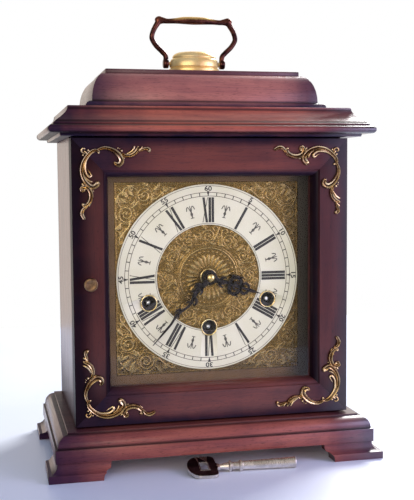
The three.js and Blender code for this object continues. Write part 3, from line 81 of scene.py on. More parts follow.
MM = 0.001
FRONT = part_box("door_rail_bottom")[0][1]
CASE_HALF = 110.65
CASE_DEPTH = 138.5
EASED = {"interpolation_type": "SMOOTHSTEP"}
COLOURS = {"data_type": "RGBA"}


def srgb(code):
    """The linear colour of a hex code."""
    values = [int(code[i:i + 2], 16) / 255 for i in (1, 3, 5)]
    linear = [v / 12.92 if v <= 0.04045 else ((v + 0.055) / 1.055) ** 2.4 for v in values]
    return (*linear, 1)


def add(tree, kind, inputs=(), **settings):
    """Adds a node with its settings and links. inputs go in order, or by place or name, and each is a
    value, a socket, or a node that gives its first output."""
    node = tree.nodes.new(kind if "Node" in kind else "ShaderNode" + kind)
    for name, value in settings.items():
        setattr(node, name, value)
    for place, value in inputs.items() if isinstance(inputs, dict) else enumerate(inputs):
        if isinstance(value, bpy.types.Node):
            value = next(socket for socket in value.outputs if socket.enabled)
        if isinstance(value, bpy.types.NodeSocket):
            tree.links.new(value, node.inputs[place])
        else:
            node.inputs[place].default_value = value
    return node


def where(tree):
    """The x, y and z of each place on a piece, in metres."""
    return add(tree, "SeparateXYZ", (add(tree, "TexCoord").outputs["Object"],)).outputs


def layer(tree, under, over, mask, low, high, least=0.0, most=1.0):
    """The colour over laid on the colour under, from least where mask is low to most where it is high."""
    under, over = (srgb(colour) if isinstance(colour, str) else colour for colour in (under, over))
    factor = add(tree, "MapRange", (mask, low, high, least, most), **EASED)
    return add(tree, "Mix", {0: factor, 6: under, 7: over}, **COLOURS)


def new_material(name):
    material = bpy.data.materials.new(name)
    material.use_nodes = True
    material.node_tree.nodes.clear()
    return material, material.node_tree


def finish(material, surface, grain=None, strength=0.0, depth=0.0):
    """Ends a material with its surface's values. A grain stands up from it, depth millimetres high."""
    tree = material.node_tree
    if grain is not None:
        raised = {"Height": grain, "Strength": strength, "Distance": depth * MM}
        surface["Normal"] = add(tree, "Bump", raised)
    add(tree, "OutputMaterial", {"Surface": add(tree, "BsdfPrincipled", surface)})
    return material


def streaks(tree, sizes, detail, offset):
    """Noise whose grains are sizes = (x, y, z) millimetres long, or one size all ways."""
    scale = tuple(1 / (float(size) * MM) for size in np.broadcast_to(sizes, 3))
    place = add(tree, "TexCoord").outputs["Object"]
    turned = add(tree, "Mapping", {"Vector": place, "Location": (offset,) * 3, "Scale": scale})
    return add(tree, "TexNoise", {"Vector": turned, "Scale": 1.0, "Detail": detail, "Roughness": 0.55})


def along(axis, across_size, along_size):
    """Grain sizes for streaks, long on one axis."""
    return tuple(along_size if letter == axis else across_size for letter in "xyz")


def toner(tree, centre, half, width):
    """1 in the open part of a board, falling to 0 at its edges: the dark toner sprayed on the arrises,
    and painted shade in the uses that say so.
    centre, half and width are in millimetres; an axis whose width is None is left alone."""
    shade = None
    for axis, place in enumerate(where(tree)):
        if width[axis] is None:
            continue
        middle = centre[axis] * MM + (FRONT if axis == 1 else 0)
        off = add(tree, "Math", (place, middle), operation="SUBTRACT")
        off = add(tree, "Math", (off,), operation="ABSOLUTE")
        inside = add(tree, "Math", (half[axis] * MM, off), operation="SUBTRACT")
        part = add(tree, "MapRange", (inside, 0.0, width[axis] * MM), **EASED)
        shade = part if shade is None else add(tree, "Math", (shade, part), operation="MULTIPLY")
    return shade


def mahogany(name, grain, dark, red, warm, centre, half, width, gloss=0.6, inner=None, seams=()):
    """Straight-grained mahogany under a satin lacquer. The eye gets fine streaks and short pores along
    the grain, a faint ribbon figure, and the toner's shading from near black to red brown, which is
    painted shade as well where a use says so; in some boards the dark is tinted blue-grey as a painted
    sheen. inner is an axis and two places in millimetres: where the axis is nearer 0 than
    the first, the wood along a frame's inner edge is painted dark as shade, fading out by the second.
    seams are the heights of the quirks of a moulding, each painted with a dark line of shade."""
    material, tree = new_material(name)
    figure = streaks(tree, along(grain, 9, 70), 2.0, 3.1)
    bands = streaks(tree, along(grain, 40, 17), 2.0, 7.7)
    lines = streaks(tree, along(grain, 0.9, 24), 4.0, 1.3)
    pores = streaks(tree, along(grain, 0.4, 4.5), 2.0, 5.9)
    parts = where(tree)
    wood = layer(tree, red, warm, figure, 0.25, 0.75)
    wood = layer(tree, wood, srgb(warm), bands, 0.35, 0.7, 0.0, 0.18)
    # the toner's mask, which in some uses is also painted shade
    shade = toner(tree, centre, half, width)
    # painted shade: the wood is darkened along a frame's inner edge
    if inner:
        axis, start, end = inner
        off = add(tree, "Math", (parts[axis],), operation="ABSOLUTE")
        edge = add(tree, "MapRange", (off, start * MM, end * MM), **EASED)
        shade = add(tree, "Math", (shade, edge), operation="MULTIPLY")
    drift = add(tree, "MapRange", (bands, 0.25, 0.75, -0.09, 0.09), **EASED)
    uneven = add(tree, "Math", (shade, drift), operation="ADD", use_clamp=True)
    wood = add(tree, "Mix", {0: uneven, 6: srgb(dark), 7: wood}, **COLOURS)
    wood = layer(tree, wood, dark, lines, 0.45, 0.8, 0.0, 0.4)
    # painted shade: a dark line along each quirk of a moulding
    for quirk_height in seams:
        above = add(tree, "Math", (parts[2], quirk_height * MM), operation="SUBTRACT")
        near = add(tree, "Math", (above,), operation="ABSOLUTE")
        wood = layer(tree, wood, "#170d12", near, 0.3 * MM, 1.5 * MM, 0.72, 0.0)
    wood = layer(tree, wood, "#140a0b", pores, 0.58, 0.7, 0.0, 0.5)
    open_pores = add(tree, "MapRange", (pores, 0.58, 0.7), **EASED)
    ridges = add(tree, "Math", (lines, 0.5), operation="MULTIPLY")
    surface = {
        "Base Color": wood, "Roughness": add(tree, "MapRange", (lines, 0.2, 0.8, 0.32, 0.46), **EASED),
        "Coat Roughness": 0.2, "Coat IOR": 1.5,
    }
    sheen = add(tree, "MapRange", (parts[0], 0.07, 0.13, 0.0, 0.9 * gloss), **EASED)
    for socket, low, high in (("Specular IOR Level", 0.04, 0.36), ("Coat Weight", 0.02, 0.5)):
        open_part = add(tree, "MapRange", (shade, 0.0, 1.0, low, high * gloss), **EASED)
        surface[socket] = add(tree, "Math", (open_part, sheen), operation="MAXIMUM")
    return finish(material, surface, add(tree, "Math", (ridges, open_pores), operation="SUBTRACT"), 0.3, 0.06)


def settle(obj, body, nodes=()):
    """Puts a finished piece in the scene, on its body, in place of the CAD nodes that it stands for."""
    if obj.name not in bpy.context.scene.collection.objects:
        bpy.context.scene.collection.objects.link(obj)
    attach(obj, body)
    if nodes:
        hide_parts(*nodes)
    return obj


def close(work, mesh, materials, angle, pick=None):
    """Ends a mesh: smooth but for arrises sharper than angle, in materials between which
    pick(normal, middle) chooses for each face."""
    if pick:
        for face in work.faces:
            face.material_index = pick(face.normal, face.calc_center_median())
    work.to_mesh(mesh)
    work.free()
    for material in materials:
        mesh.materials.append(material)
    mesh.shade_smooth()
    mesh.set_sharp_from_angle(angle=math.radians(angle))


def solid(name, verts, faces, materials, body, slot, nodes=(), angle=35, pick=None, relief=None):
    """A piece from vertices in the clock's own millimetres. relief gives each vertex its height for the
    patina."""
    mesh = bpy.data.meshes.new(name)
    mesh.from_pydata([(x * MM, y * MM + FRONT, z * MM) for x, y, z in verts], [], faces)
    if relief is not None:
        mesh.attributes.new("relief", "FLOAT", "POINT").data.foreach_set("value", relief)
    work = bmesh.new()
    work.from_mesh(mesh)
    bmesh.ops.remove_doubles(work, verts=work.verts, dist=1e-6)
    bmesh.ops.recalc_face_normals(work, faces=work.faces)
    close(work, mesh, materials, angle, pick)
    return settle(bpy.data.objects.new(name, mesh), body, nodes)


def finer(node, materials, bevel, segments=2, angle=34, pick=None):
    """The CAD node again with its arrises eased, on the same body."""
    source = frame["nodes"][node]
    mesh = bpy.data.meshes.new(node + "_eased")
    work = bmesh.new()
    work.from_mesh(source.data)
    bmesh.ops.remove_doubles(work, verts=work.verts, dist=2e-6)
    bmesh.ops.dissolve_limit(
        work, angle_limit=math.radians(0.8), verts=work.verts, edges=work.edges, delimit={"NORMAL"},
    )
    bmesh.ops.recalc_face_normals(work, faces=work.faces)
    sharp = [e for e in work.edges if len(e.link_faces) == 2 and e.calc_face_angle() > math.radians(angle)]
    bmesh.ops.bevel(
        work, geom=sharp, offset=bevel * MM, offset_type="OFFSET", segments=segments, profile=0.5,
        affect="EDGES", clamp_overlap=True,
    )
    close(work, mesh, materials, 40, pick)
    eased = bpy.data.objects.new(mesh.name, mesh)
    level = eased.modifiers.new("flats_stay_flat", "WEIGHTED_NORMAL")
    level.keep_sharp = True
    level.weight = 80
    return settle(eased, body_of(source)[0], [node])


def end_grain(normal, middle):
    """Board along x: its moulded ends, where the grain runs back, take the second material."""
    return 1 if abs(normal.x) > 0.72 * math.hypot(normal.x, normal.y) and abs(normal.z) < 0.9 else 0


MIDDLE = (0, CASE_DEPTH / 2, 0)
# painted sheen: the blue-grey in the dark colour #38243a; painted shade: the dark lines at the two quirk
# heights
base_wood = mahogany(
    "mahogany_base_lengthwise", "x", "#38243a", "#80403c", "#a45a4b",
    MIDDLE, (131, 0, 0), (62, None, None), seams=(24.0, 33.3),
)
base_end_wood = mahogany(
    "mahogany_base_returns", "y", "#2e161f", "#643032", "#7f443e",
    (0, CASE_DEPTH / 2 - 8, 0), (0, 84, 0), (None, 34, None), 1.1,
)
for place in ("front_left", "front_right", "rear_left", "rear_right"):
    finer("foot_" + place, [base_wood, base_end_wood], 0.35, pick=end_grain)


# --------------------------------------------------------------------------------- plinth and base moulding
# A flat plinth board lies on the feet and a moulding lies on it: fillet, ovolo and a thin top fillet, run
# with a cutter on the front and both ends and mitred at the two front corners. The back is plain.

def arc(cx, cy, rx, ry, start, end, steps):
    """Points on an ellipse arc, both ends counted."""
    turns = np.radians(np.linspace(start, end, steps + 1))
    return [(cx + rx * math.cos(t), cy + ry * math.sin(t)) for t in turns]


def strips(count, rings, closed=False):
    """The faces between each ring of count points and the next, and on to the first where closed."""
    faces = []
    for ring in range(rings if closed else rings - 1):
        low, high = ring * count, (ring + 1) % rings * count
        for k in range(count):
            turn = (k + 1) % count
            faces.append((low + k, low + turn, high + turn, high + k))
    return faces


def prism(rings):
    """A solid through rings of equal length, flat at the first and the last: verts, faces."""
    count = len(rings[0])
    verts = [tuple(point) for ring in rings for point in ring]
    ends = [tuple(range(count))[::-1], tuple(range(len(verts) - count, len(verts)))]
    return verts, ends + strips(count, len(rings))


def moulding(name, node, profile, materials, back_moulded=False):
    """A board with a moulded edge. profile is (out, height): out from the case's side and front."""
    mitre, square = 0.5, 0.05
    sweep = [(0, 1), (0.29, 0.29), (1, 0)]
    rings = []
    for out, height in profile:
        half = CASE_HALF + out
        back = CASE_DEPTH + (out if back_moulded else 0)
        rear = mitre if back_moulded else square
        outline = []
        for x, y, side_x, side_y, ease in (
            (-half, -out, 1, 1, mitre), (half, -out, -1, 1, mitre),
            (half, back, -1, -1, rear), (-half, back, 1, -1, rear),
        ):
            outline += [(x + side_x * ease * u, y + side_y * ease * v, height)
                        for u, v in (sweep if side_x * side_y > 0 else sweep[::-1])]
        rings.append(outline)
    return solid(name, *prism(rings), materials, "case", "mahogany", [node], 32, end_grain)


PLINTH_OUT = 16.95
moulding(
    "plinth_board", "base_plinth",
    [(PLINTH_OUT - 0.5, 12.9), (PLINTH_OUT - 0.15, 13.05), (PLINTH_OUT, 13.4), (PLINTH_OUT, 23.1),
     (PLINTH_OUT - 0.15, 23.45), (PLINTH_OUT - 0.5, 23.6)],
    [base_wood, base_end_wood],
)
moulding(
    "base_ovolo", "base_moulding",
    [(15.1, 23.6), (15.3, 23.8), (15.3, 24.55), (15.1, 24.8)]
    + arc(6.95, 24.85, 8.1, 8.1, 0, 88, 14) + [(7.0, 33.0), (6.95, 33.9), (6.7, 34.2)],
    [base_wood, base_end_wood],
)


# -------------------------------------------------------------------------------------------- case sides
# Two upright boards, screwed to the base and the cornice. Their faces catch the light of the window on
# the left, and their edges are rounded by sanding.
# painted shade: the side darkens over its lowest 80 mm, and its gloss with it, standing for the shadowed
# table seen in its lacquer
side_wood = mahogany(
    "mahogany_sides_upright", "z", "#351a1c", "#6d3a36", "#8a5248",
    (0, 78, 180), (0, 66, 150), (None, 16, 80), 1.0,
)
inside_wood = mahogany(
    "mahogany_inside_unlacquered", "z", "#5d3a30", "#7d5342", "#94674f",
    (0, 78, 146.5), (0, 66, 116), (None, 20, 20), 0.0,
)


def outer_face(normal, middle):
    return 0 if abs(middle.x) > 0.0995 or abs(normal.y) > 0.5 else 1


for side in ("left", "right"):
    finer("side_" + side, [side_wood, inside_wood], 0.5, pick=outer_face)


def carry(node, material):
    """A CAD node whose shape stays, with its material."""
    mesh = frame["nodes"][node].data
    mesh.materials.clear()
    mesh.materials.append(material)


board_wood = mahogany(
    "beech_boards_unlacquered", "x", "#7a5a42", "#96714f", "#ad8862",
    MIDDLE, (130, 0, 0), (20, None, None), 0.0,
)
for node in ("seat_board", "dial_board"):
    carry(node, board_wood)


# ------------------------------------------------------------------------------------- cornice and caddy
# The cornice lies on the sides: a flat fascia, a half-round bead, a quirk and a hollow that rises to a
# small top fillet. On it stands the caddy, a step with a small bead and then the bell, moulded on all
# four sides, and a thin square-edged board closes the top.
# painted shade: the cornice darkens over its lowest 7 mm, under the bead, and a dark line lies at each of its
# four quirk heights; the blue-grey in #261c30 is a painted sheen
top_wood = mahogany(
    "mahogany_cornice_lengthwise", "x", "#261c30", "#8f3f36", "#b9624b",
    (0, CASE_DEPTH / 2, 281.8), (133, 0, 23.4), (92, None, 7), 0.7, None, (261.0, 267.1, 269.7, 279.6),
)
top_end_wood = mahogany(
    "mahogany_cornice_returns", "y", "#251720", "#5f322e", "#7d4a40",
    (0, CASE_DEPTH / 2 - 8, 0), (0, 84, 0), (None, 34, None), 1.1,
)
BEAD_MIDDLE = 264.0
moulding(
    "cornice_profile", "cornice_moulding",
    [(8.2, 258.8), (8.45, 259.0), (8.95, 260.9)]
    + arc(14.75, BEAD_MIDDLE, 3, 3, -90, 90, 14)
    + [(14.0, 267.05), (13.8, 267.25), (13.35, 268.7), (12.3, 269.6)]
    + [(2.6 + 9.7 * (1 - t) ** 1.45, 270.0 + 9.3 * t) for t in np.linspace(0.04, 0.98, 14)]
    + [(2.6, 279.5), (2.35, 279.9), (2.3, 281.5), (2.0, 281.8)],
    [top_wood, top_end_wood],
)
# the caddy darkens towards its foot over its lowest 9 mm; painted shade lies at its two quirk heights, and
# the blue-grey in #36283c is a painted sheen
caddy_wood = mahogany(
    "mahogany_caddy_lengthwise", "x", "#36283c", "#a3625a", "#bb7667",
    (0, CASE_DEPTH / 2, 309.8), (103, 0, 28.6), (58, None, 9), 0.7, None, (282.4, 287.1),
)
moulding(
    "caddy_profile", "caddy_moulding",
    [(-13.3, 281.8), (-13.15, 282.0), (-13.15, 283.2)]
    + arc(-18.35, 283.2, 5.2, 3.8, 0, 86, 8) + [(-18.55, 287.0)]
    + arc(-30.45, 287.0, 11.9, 22.7, 0, 89, 22) + [(-30.6, 309.7)],
    [caddy_wood, top_end_wood], True,
)
top_board_wood = mahogany(
    "mahogany_top_board_lengthwise", "x", "#1f1420", "#5c3438", "#6d4042",
    MIDDLE, (99, 0, 0), (40, None, None), 0.7,
)
moulding(
    "top_board_eased", "top_board",
    [(-31.1, 309.7), (-30.8, 309.9), (-30.75, 310.2), (-30.75, 312.6), (-30.95, 313.05), (-31.3, 313.2)],
    [top_board_wood, top_end_wood], True,
)


# ---------------------------------------------------------------------------------------- saddle and handle
# The saddle is a yellow brass casting, oval and stepped, with a stud at each end; its grooves hold the
# darker lacquer. The handle swings on the studs. It is cast bronze, dark in the ground, coppery on the
# ears, and the top of its grip is worn to bright gold by the hand.

def metal(name, base, low, high, rough, scale, worn=None, pits=0.03, metallic=1.0, stain=None):
    """Cast or turned metal. The eye gets cloudy tarnish from low to high in two sizes, fine hand-worn
    scratches in the gloss, and a dark ground where the attribute relief is low. pits is their depth in
    millimetres, and stain is two places in metres, from the first of which a painted
    shadow of the door frame darkens the right."""
    material, tree = new_material(name)
    cloud = streaks(tree, scale, 3.0, 2.2)
    speck = streaks(tree, 0.9, 2.0, 8.4)
    colour = layer(tree, base, high, cloud, 0.35, 0.68)
    colour = layer(tree, colour, low, speck, 0.5, 0.8, 0.0, 0.35)
    if worn:
        relief = add(tree, "Attribute", attribute_name="relief").outputs["Fac"]
        colour = layer(tree, low, colour, relief, *worn)
        colour = layer(tree, colour, high, relief, worn[1], 1.0, 0.0, 0.75)
    # painted shadow: the door frame's shadow darkens the right of the piece
    if stain:
        colour = layer(tree, colour, "#1d1510", where(tree)[0], *stain)
    rub = streaks(tree, (0.25, 4.0, 4.0), 2.0, 4.4)
    gloss = add(tree, "MapRange", (rub, 0.25, 0.75, rough - 0.07, rough + 0.09), **EASED)
    surface = {"Base Color": colour, "Roughness": gloss, "Metallic": metallic}
    return finish(material, surface, speck, 0.35, pits)


def skin(rings, closed_ends=True):
    """Vertices and faces over rings of equal length, with a fan at each end."""
    count = len(rings[0])
    verts = [tuple(point) for ring in rings for point in ring]
    faces = strips(count, len(rings))
    if closed_ends:
        for base, ring in ((0, rings[0]), ((len(rings) - 1) * count, rings[-1])):
            middle = len(verts)
            verts.append(tuple(np.mean(np.array(ring, float), axis=0)))
            faces += [(base + k, base + (k + 1) % count, middle) for k in range(count)]
    return verts, faces


def lathe(profile, axis, centre, sides, squeeze=(1, 1)):
    """A turned body: profile is (radius, place along the axis). squeeze stretches the two other axes."""
    rings = []
    for radius, place in profile:
        ring = []
        for turn in np.linspace(0, 2 * math.pi, sides, endpoint=False):
            u, v = radius * squeeze[0] * math.cos(turn), radius * squeeze[1] * math.sin(turn)
            point = {"x": (place, u, v), "y": (u, place, v), "z": (u, v, place)}[axis]
            ring.append(tuple(c + p for c, p in zip(centre, point)))
        rings.append(ring)
    return skin(rings)


def gather(parts):
    """Several (verts, faces) as one."""
    verts, faces = [], []
    for part_verts, part_faces in parts:
        base = len(verts)
        verts += list(part_verts)
        faces += [tuple(base + i for i in face) for face in part_faces]
    return verts, faces


def spline(points, per_span=8):
    """Catmull-Rom through points of any length, per_span steps between each two."""
    knots = np.array(points, float)
    ends = np.vstack([2 * knots[0] - knots[1], knots, 2 * knots[-1] - knots[-2]])
    curve = []
    for i in range(1, len(ends) - 2):
        a, b, c, d = ends[i - 1], ends[i], ends[i + 1], ends[i + 2]
        for t in np.arange(per_span) / per_span:
            curve.append(0.5 * (2 * b + (c - a) * t + (2 * a - 5 * b + 4 * c - d) * t ** 2
                                + (3 * b - a - 3 * c + d) * t ** 3))
    curve.append(knots[-1])
    return np.array(curve)


TOP = 313.2
HANDLE_Y = CASE_DEPTH / 2
PIVOT_Z = TOP + 9.3
saddle_brass = metal("brass_saddle_polished", "#ffd88a", "#d2a45c", "#ffe6a6", 0.34, 14.0, metallic=0.6)
SADDLE_HALF_WIDTH, SADDLE_HALF_DEPTH = 21.5, 14
saddle_profile = spline(
    [(0.2, 0), (21.1, 0), (21.5, 0.5), (21.4, 4.2), (21.2, 4.9), (20.1, 5.4), (20.1, 5.9), (20.9, 6.5),
     (21.0, 7.6), (20.8, 9.6), (20.2, 11.6), (19.3, 12.9), (18.3, 13.5), (18.1, 14.0), (18.5, 14.6),
     (17.9, 15.9), (16.1, 17.5), (13.4, 18.6), (9.4, 19.2), (5.0, 19.3), (0.2, 19.3)], 3)
oval = (1, SADDLE_HALF_DEPTH / SADDLE_HALF_WIDTH)
studs = [lathe([(1.2, s * 12.9), (1.5, s * 13.2), (1.5, s * 25.3), (1.2, s * 25.6)], "x",
               (0, HANDLE_Y, PIVOT_Z), 20) for s in (-1, 1)]
saddle = gather([lathe(saddle_profile, "z", (0, HANDLE_Y, TOP), 72, oval)] + studs)
solid("saddle_oval", *saddle, [saddle_brass], "case", "polished_brass", ["saddle_plate"], 30)


def handle_bronze():
    """Lacquered bronze, dark brown with coppery clouds; the upper face of the grip is rubbed to gold.
    The eye gets a soft edge between gold and brown that wanders with the noise."""
    material, tree = new_material("bronze_handle_gold_worn")
    across, _, up = where(tree)
    facing = add(tree, "SeparateXYZ", (add(tree, "NewGeometry").outputs["Normal"],)).outputs[2]
    cloud = streaks(tree, (7, 5, 5), 3.0, 1.1)
    fine = streaks(tree, 1.2, 3.0, 6.6)
    grip = ((PIVOT_Z + 33.5) * MM, (PIVOT_Z + 36.5) * MM)
    colour = layer(tree, "#24151a", "#633c34", cloud, 0.3, 0.7)
    colour = layer(tree, colour, "#8a5544", up, *grip, 0.0, 0.45)
    off_middle = add(tree, "Math", (across,), operation="ABSOLUTE")
    ragged = add(tree, "Math", (fine, 0.5), operation="MULTIPLY")
    upward = add(tree, "Math", (facing, ragged), operation="ADD")
    gold = add(tree, "MapRange", (off_middle, 21 * MM, 12 * MM), **EASED)
    for span in ((upward, 0.3, 0.75), (up, *grip)):
        gold = add(tree, "Math", (gold, add(tree, "MapRange", span, **EASED)), operation="MULTIPLY")
    colour = add(tree, "Mix", {0: gold, 6: colour, 7: srgb("#f1cf8c")}, **COLOURS)
    gloss = add(tree, "MapRange", (fine, 0.3, 0.7, 0.26, 0.4), **EASED)
    return finish(material, {"Base Color": colour, "Roughness": gloss, "Metallic": 1.0}, fine, 0.4, 0.05)


EYE_INNER = 22.1
EYE_OUTER = 26.5
EYE = (EYE_INNER + EYE_OUTER) / 2
half_handle = [
    (EYE, 0, 2.2, 2.6), (EYE, 6.1, 2.1, 2.4), (EYE + 2.85, 9.7, 2.1, 2.1), (EYE + 7.75, 14.4, 2.1, 2.1),
    (EYE + 11.05, 19.4, 2.1, 2.1), (EYE + 11.4, 23.0, 2.1, 2.1), (EYE + 9.6, 28.1, 2.15, 2.1),
    (EYE + 6.4, 33.5, 2.5, 2.1), (EYE + 5.4, 35.5, 3.5, 2.2), (EYE + 1.8, 35.5, 2.6, 2.1),
    (EYE - 2, 35.1, 2.1, 2.1), (16.0, 35.5, 2.3, 2.4), (8.75, 36.0, 3.0, 3.3), (0, 36.0, 3.3, 3.6),
]
stations = [(-x, z, a, b) for x, z, a, b in half_handle[:-1]] + half_handle[::-1]
bow_line = spline(stations, 7)
rings = []
for i, (x, z, across, deep) in enumerate(bow_line):
    before, after = bow_line[max(i - 1, 0)], bow_line[min(i + 1, len(bow_line) - 1)]
    run = np.array([after[0] - before[0], after[1] - before[1]])
    run /= np.linalg.norm(run)
    ring = []
    for turn in np.linspace(0, 2 * math.pi, 20, endpoint=False):
        s, y = across * math.cos(turn), deep * math.sin(turn)
        ring.append((x - run[1] * s, HANDLE_Y + y, PIVOT_Z + z + run[0] * s))
    rings.append(ring)
parts = [skin(rings)]
for side in (-1, 1):
    parts.append(lathe(
        [(1.7, side * EYE_INNER), (3.6, side * EYE_INNER), (4.0, side * (EYE_INNER + 0.4)),
         (4.0, side * (EYE_OUTER - 0.8)), (3.5, side * (EYE_OUTER - 0.2)), (2.6, side * EYE_OUTER),
         (0.2, side * (EYE_OUTER + 0.1))], "x", (0, HANDLE_Y, PIVOT_Z), 28))
solid("handle_bow", *gather(parts), [handle_bronze()], "carrying_handle", "copper_bronze", ["handle"], 50)


# --------------------------------------------------------------------------------------------- front door
# Two stiles and two rails of one section, mitred and glued: a flat face, an ovolo sticking on the inner
# edge and a rabbet behind for the glass, which a bead holds. The toner is darkest along the door's edges,
# and painted shade darkens the sticking of the stiles and the top rail and the left of the door.
# painted shade: the stiles are darkened along their inner edge, over the sticking, and their toner sits 2.5
# mm right of the middle, darker at the left
stile_wood = mahogany(
    "mahogany_stiles_upright", "z", "#1a0d17", "#421a1a", "#542420",
    (2.5, 7, 146.75), (CASE_HALF, 0, 111), (17, None, 52), 0.7,
    (0, CASE_HALF - 25.5, CASE_HALF - 22.5),
)
# painted shade: the rails' toner is centred 10 mm right of the middle, so their left ends are darker; the
# blue-grey in #281c2a is a painted sheen
rail_wood = mahogany(
    "mahogany_rails_lengthwise", "x", "#281c2a", "#592a26", "#763b31",
    (10, 7, 146.75), (CASE_HALF + 4, 0, 111), (88, None, 10), 0.7,
)
# the top rail is the rail wood again with painted shade along its inner edge, over the sticking
top_rail_wood_shaded = mahogany(
    "mahogany_top_rail_lengthwise", "x", "#281c2a", "#592a26", "#763b31",
    (10, 7, 146.75), (CASE_HALF + 4, 0, 111), (88, None, 10), 0.7, (2, 230, 233.5),
)
DOOR_LOW, DOOR_HIGH = 35.7, 257.8
STICKING = 4.9
SIDE_WIDTH, LOW_WIDTH, HIGH_WIDTH = 23.5, 23.1, 24.9


def door_section(width):
    """The section, u in from the door's edge and y from its face: a quirk, an ovolo and the rabbet."""
    ovolo = arc(width + 0.45, 7.6, STICKING - 0.75, 6.2, -90, -2, 12)
    return [(0.35, 0), (width - 0.1, 0), (width + 0.1, 0.2), (width + 0.2, 1.2), *ovolo,
            (width + STICKING - 0.05, 7.9), (width + STICKING, 9.3), (width + STICKING - 3.9, 9.3),
            (width + STICKING - 3.9, 15), (0.3, 15), (0, 14.7), (0, 0.35)]


def member(name, node, width, ends, spans, place, material):
    """One member between two mitres. ends are its ends along its length, spans the widths it meets."""
    rings = []
    for end, span, sign in zip(ends, spans, (1, -1)):
        slope = (span + STICKING) / (width + STICKING)
        rings.append([place(u, y, end + sign * (u * slope + 0.02)) for u, y in door_section(width)])
    solid(name, *prism(rings), [material], "front_door", "mahogany", [node], 32)


member("stile_left", "door_stile_left", SIDE_WIDTH, (DOOR_LOW, DOOR_HIGH), (LOW_WIDTH, HIGH_WIDTH),
       lambda u, y, along_z: (-CASE_HALF + u, y, along_z), stile_wood)
member("stile_right", "door_stile_right", SIDE_WIDTH, (DOOR_LOW, DOOR_HIGH), (LOW_WIDTH, HIGH_WIDTH),
       lambda u, y, along_z: (CASE_HALF - u, y, along_z), stile_wood)
member("rail_bottom", "door_rail_bottom", LOW_WIDTH, (-CASE_HALF, CASE_HALF), (SIDE_WIDTH, SIDE_WIDTH),
       lambda u, y, along_x: (along_x, y, DOOR_LOW + u), rail_wood)
member("rail_top", "door_rail_top", HIGH_WIDTH, (-CASE_HALF, CASE_HALF), (SIDE_WIDTH, SIDE_WIDTH),
       lambda u, y, along_x: (along_x, y, DOOR_HIGH - u), top_rail_wood_shaded)
carry("glass_bead", rail_wood)


def window_glass():
    """Clear window glass: it shows what is behind it, with a faint green cast and the room's light on it."""
    material, tree = new_material("glass_door_clear")
    surface = {"Base Color": srgb("#f4f8f5"), "Roughness": 0.015, "IOR": 1.25, "Transmission Weight": 1.0}
    return finish(material, surface, streaks(tree, 45, 1.0, 0.7), 0.15, 0.02)


glass = finer("door_glass", [window_glass()], 0.1, 1)
glass.visible_shadow = False


# ------------------------------------------------------------------------------------------------ door knob
# A small knob of antique brass, turned in the lathe, its face slightly hollow, its rim rubbed bright. Its
# shank goes into the left stile from the front.
knob_brass = metal("brass_knob_antique", "#78604a", "#3f2e20", "#a98a66", 0.34, 3.0)
KNOB_X = -CASE_HALF + 12.6
KNOB_Z = 146.75
knob_profile = [
    (0.1, 0.1), (3.3, 0.1), (3.3, -1.1), (2.6, -1.5), (2.2, -2.2), (2.1, -3.8), (2.7, -4.8), (4.2, -5.7),
    (5.1, -6.7), (5.3, -7.8), (5.1, -8.9), (4.6, -9.5), (4.0, -9.65), (3.2, -9.45), (1.6, -9.3), (0.1, -9.25),
]
solid("knob_turned", *lathe(knob_profile, "y", (KNOB_X, 0, KNOB_Z), 40), [knob_brass], "front_door",
      "antique_brass", ["door_knob"], 34)


# -------------------------------------------------------------------------------------------- corner mounts
# Four castings of one rococo pattern, antique brass with a dark ground and rubbed ridges, each turned a
# quarter turn from the one before and pinned to the door. The scrolls have a hollow between two ridges,
# the small members are round, and balls end the curls.

def ridge(kind):
    """A cast member's section as (across, height, relief), from one foot to the other."""
    if kind == "double":
        return [(-1, -0.1, 0), (-1, 0.2, 0.1), (-0.9, 0.7, 0.6), (-0.66, 1.0, 1), (-0.42, 0.88, 0.7),
                (-0.14, 0.58, 0.2), (0.14, 0.58, 0.2), (0.42, 0.88, 0.7), (0.66, 1.0, 1), (0.9, 0.7, 0.6),
                (1, 0.2, 0.1), (1, -0.1, 0)]
    return [(-1, -0.1, 0), (-1, 0.2, 0.1), (-0.86, 0.6, 0.3), (-0.5, 0.92, 0.75), (0, 1.05, 1),
            (0.5, 0.92, 0.75), (0.86, 0.6, 0.3), (1, 0.2, 0.1), (1, -0.1, 0)]


def cast_stroke(stations, kind, rise):
    """A cast member along (u, v, half width) stations, standing on the door: verts, faces, relief."""
    line = spline(stations, 5)
    rings, relief = [], []
    section = ridge(kind)
    for i, (u, v, half) in enumerate(line):
        before, after = line[max(i - 1, 0)], line[min(i + 1, len(line) - 1)]
        run = np.array([after[0] - before[0], after[1] - before[1]])
        run /= max(np.linalg.norm(run), 1e-6)
        half = max(half * 1.32, 0.3)
        height = min(rise, half * 1.35)
        rings.append([(u - run[1] * a * half, -h * height, v + run[0] * a * half) for a, h, _ in section])
        relief += [r * min(1.0, 0.45 + height / rise) for _, _, r in section]
    verts, faces = skin(rings)
    return verts, faces, relief + [0.3] * (len(verts) - len(relief))


def cast_ball(u, v, radius):
    """A ball at the end of a curl, flat at the back: verts, faces, relief."""
    turns = np.radians([-8, 12, 32, 52, 72, 86])
    profile = [(radius * math.cos(t), -radius * 1.25 * math.sin(t)) for t in turns]
    verts, faces = lathe(profile, "y", (u, 0, v), 14)
    return verts, faces, [min(1.0, max(0.0, -y / (radius * 1.1))) for _, y, _ in verts]


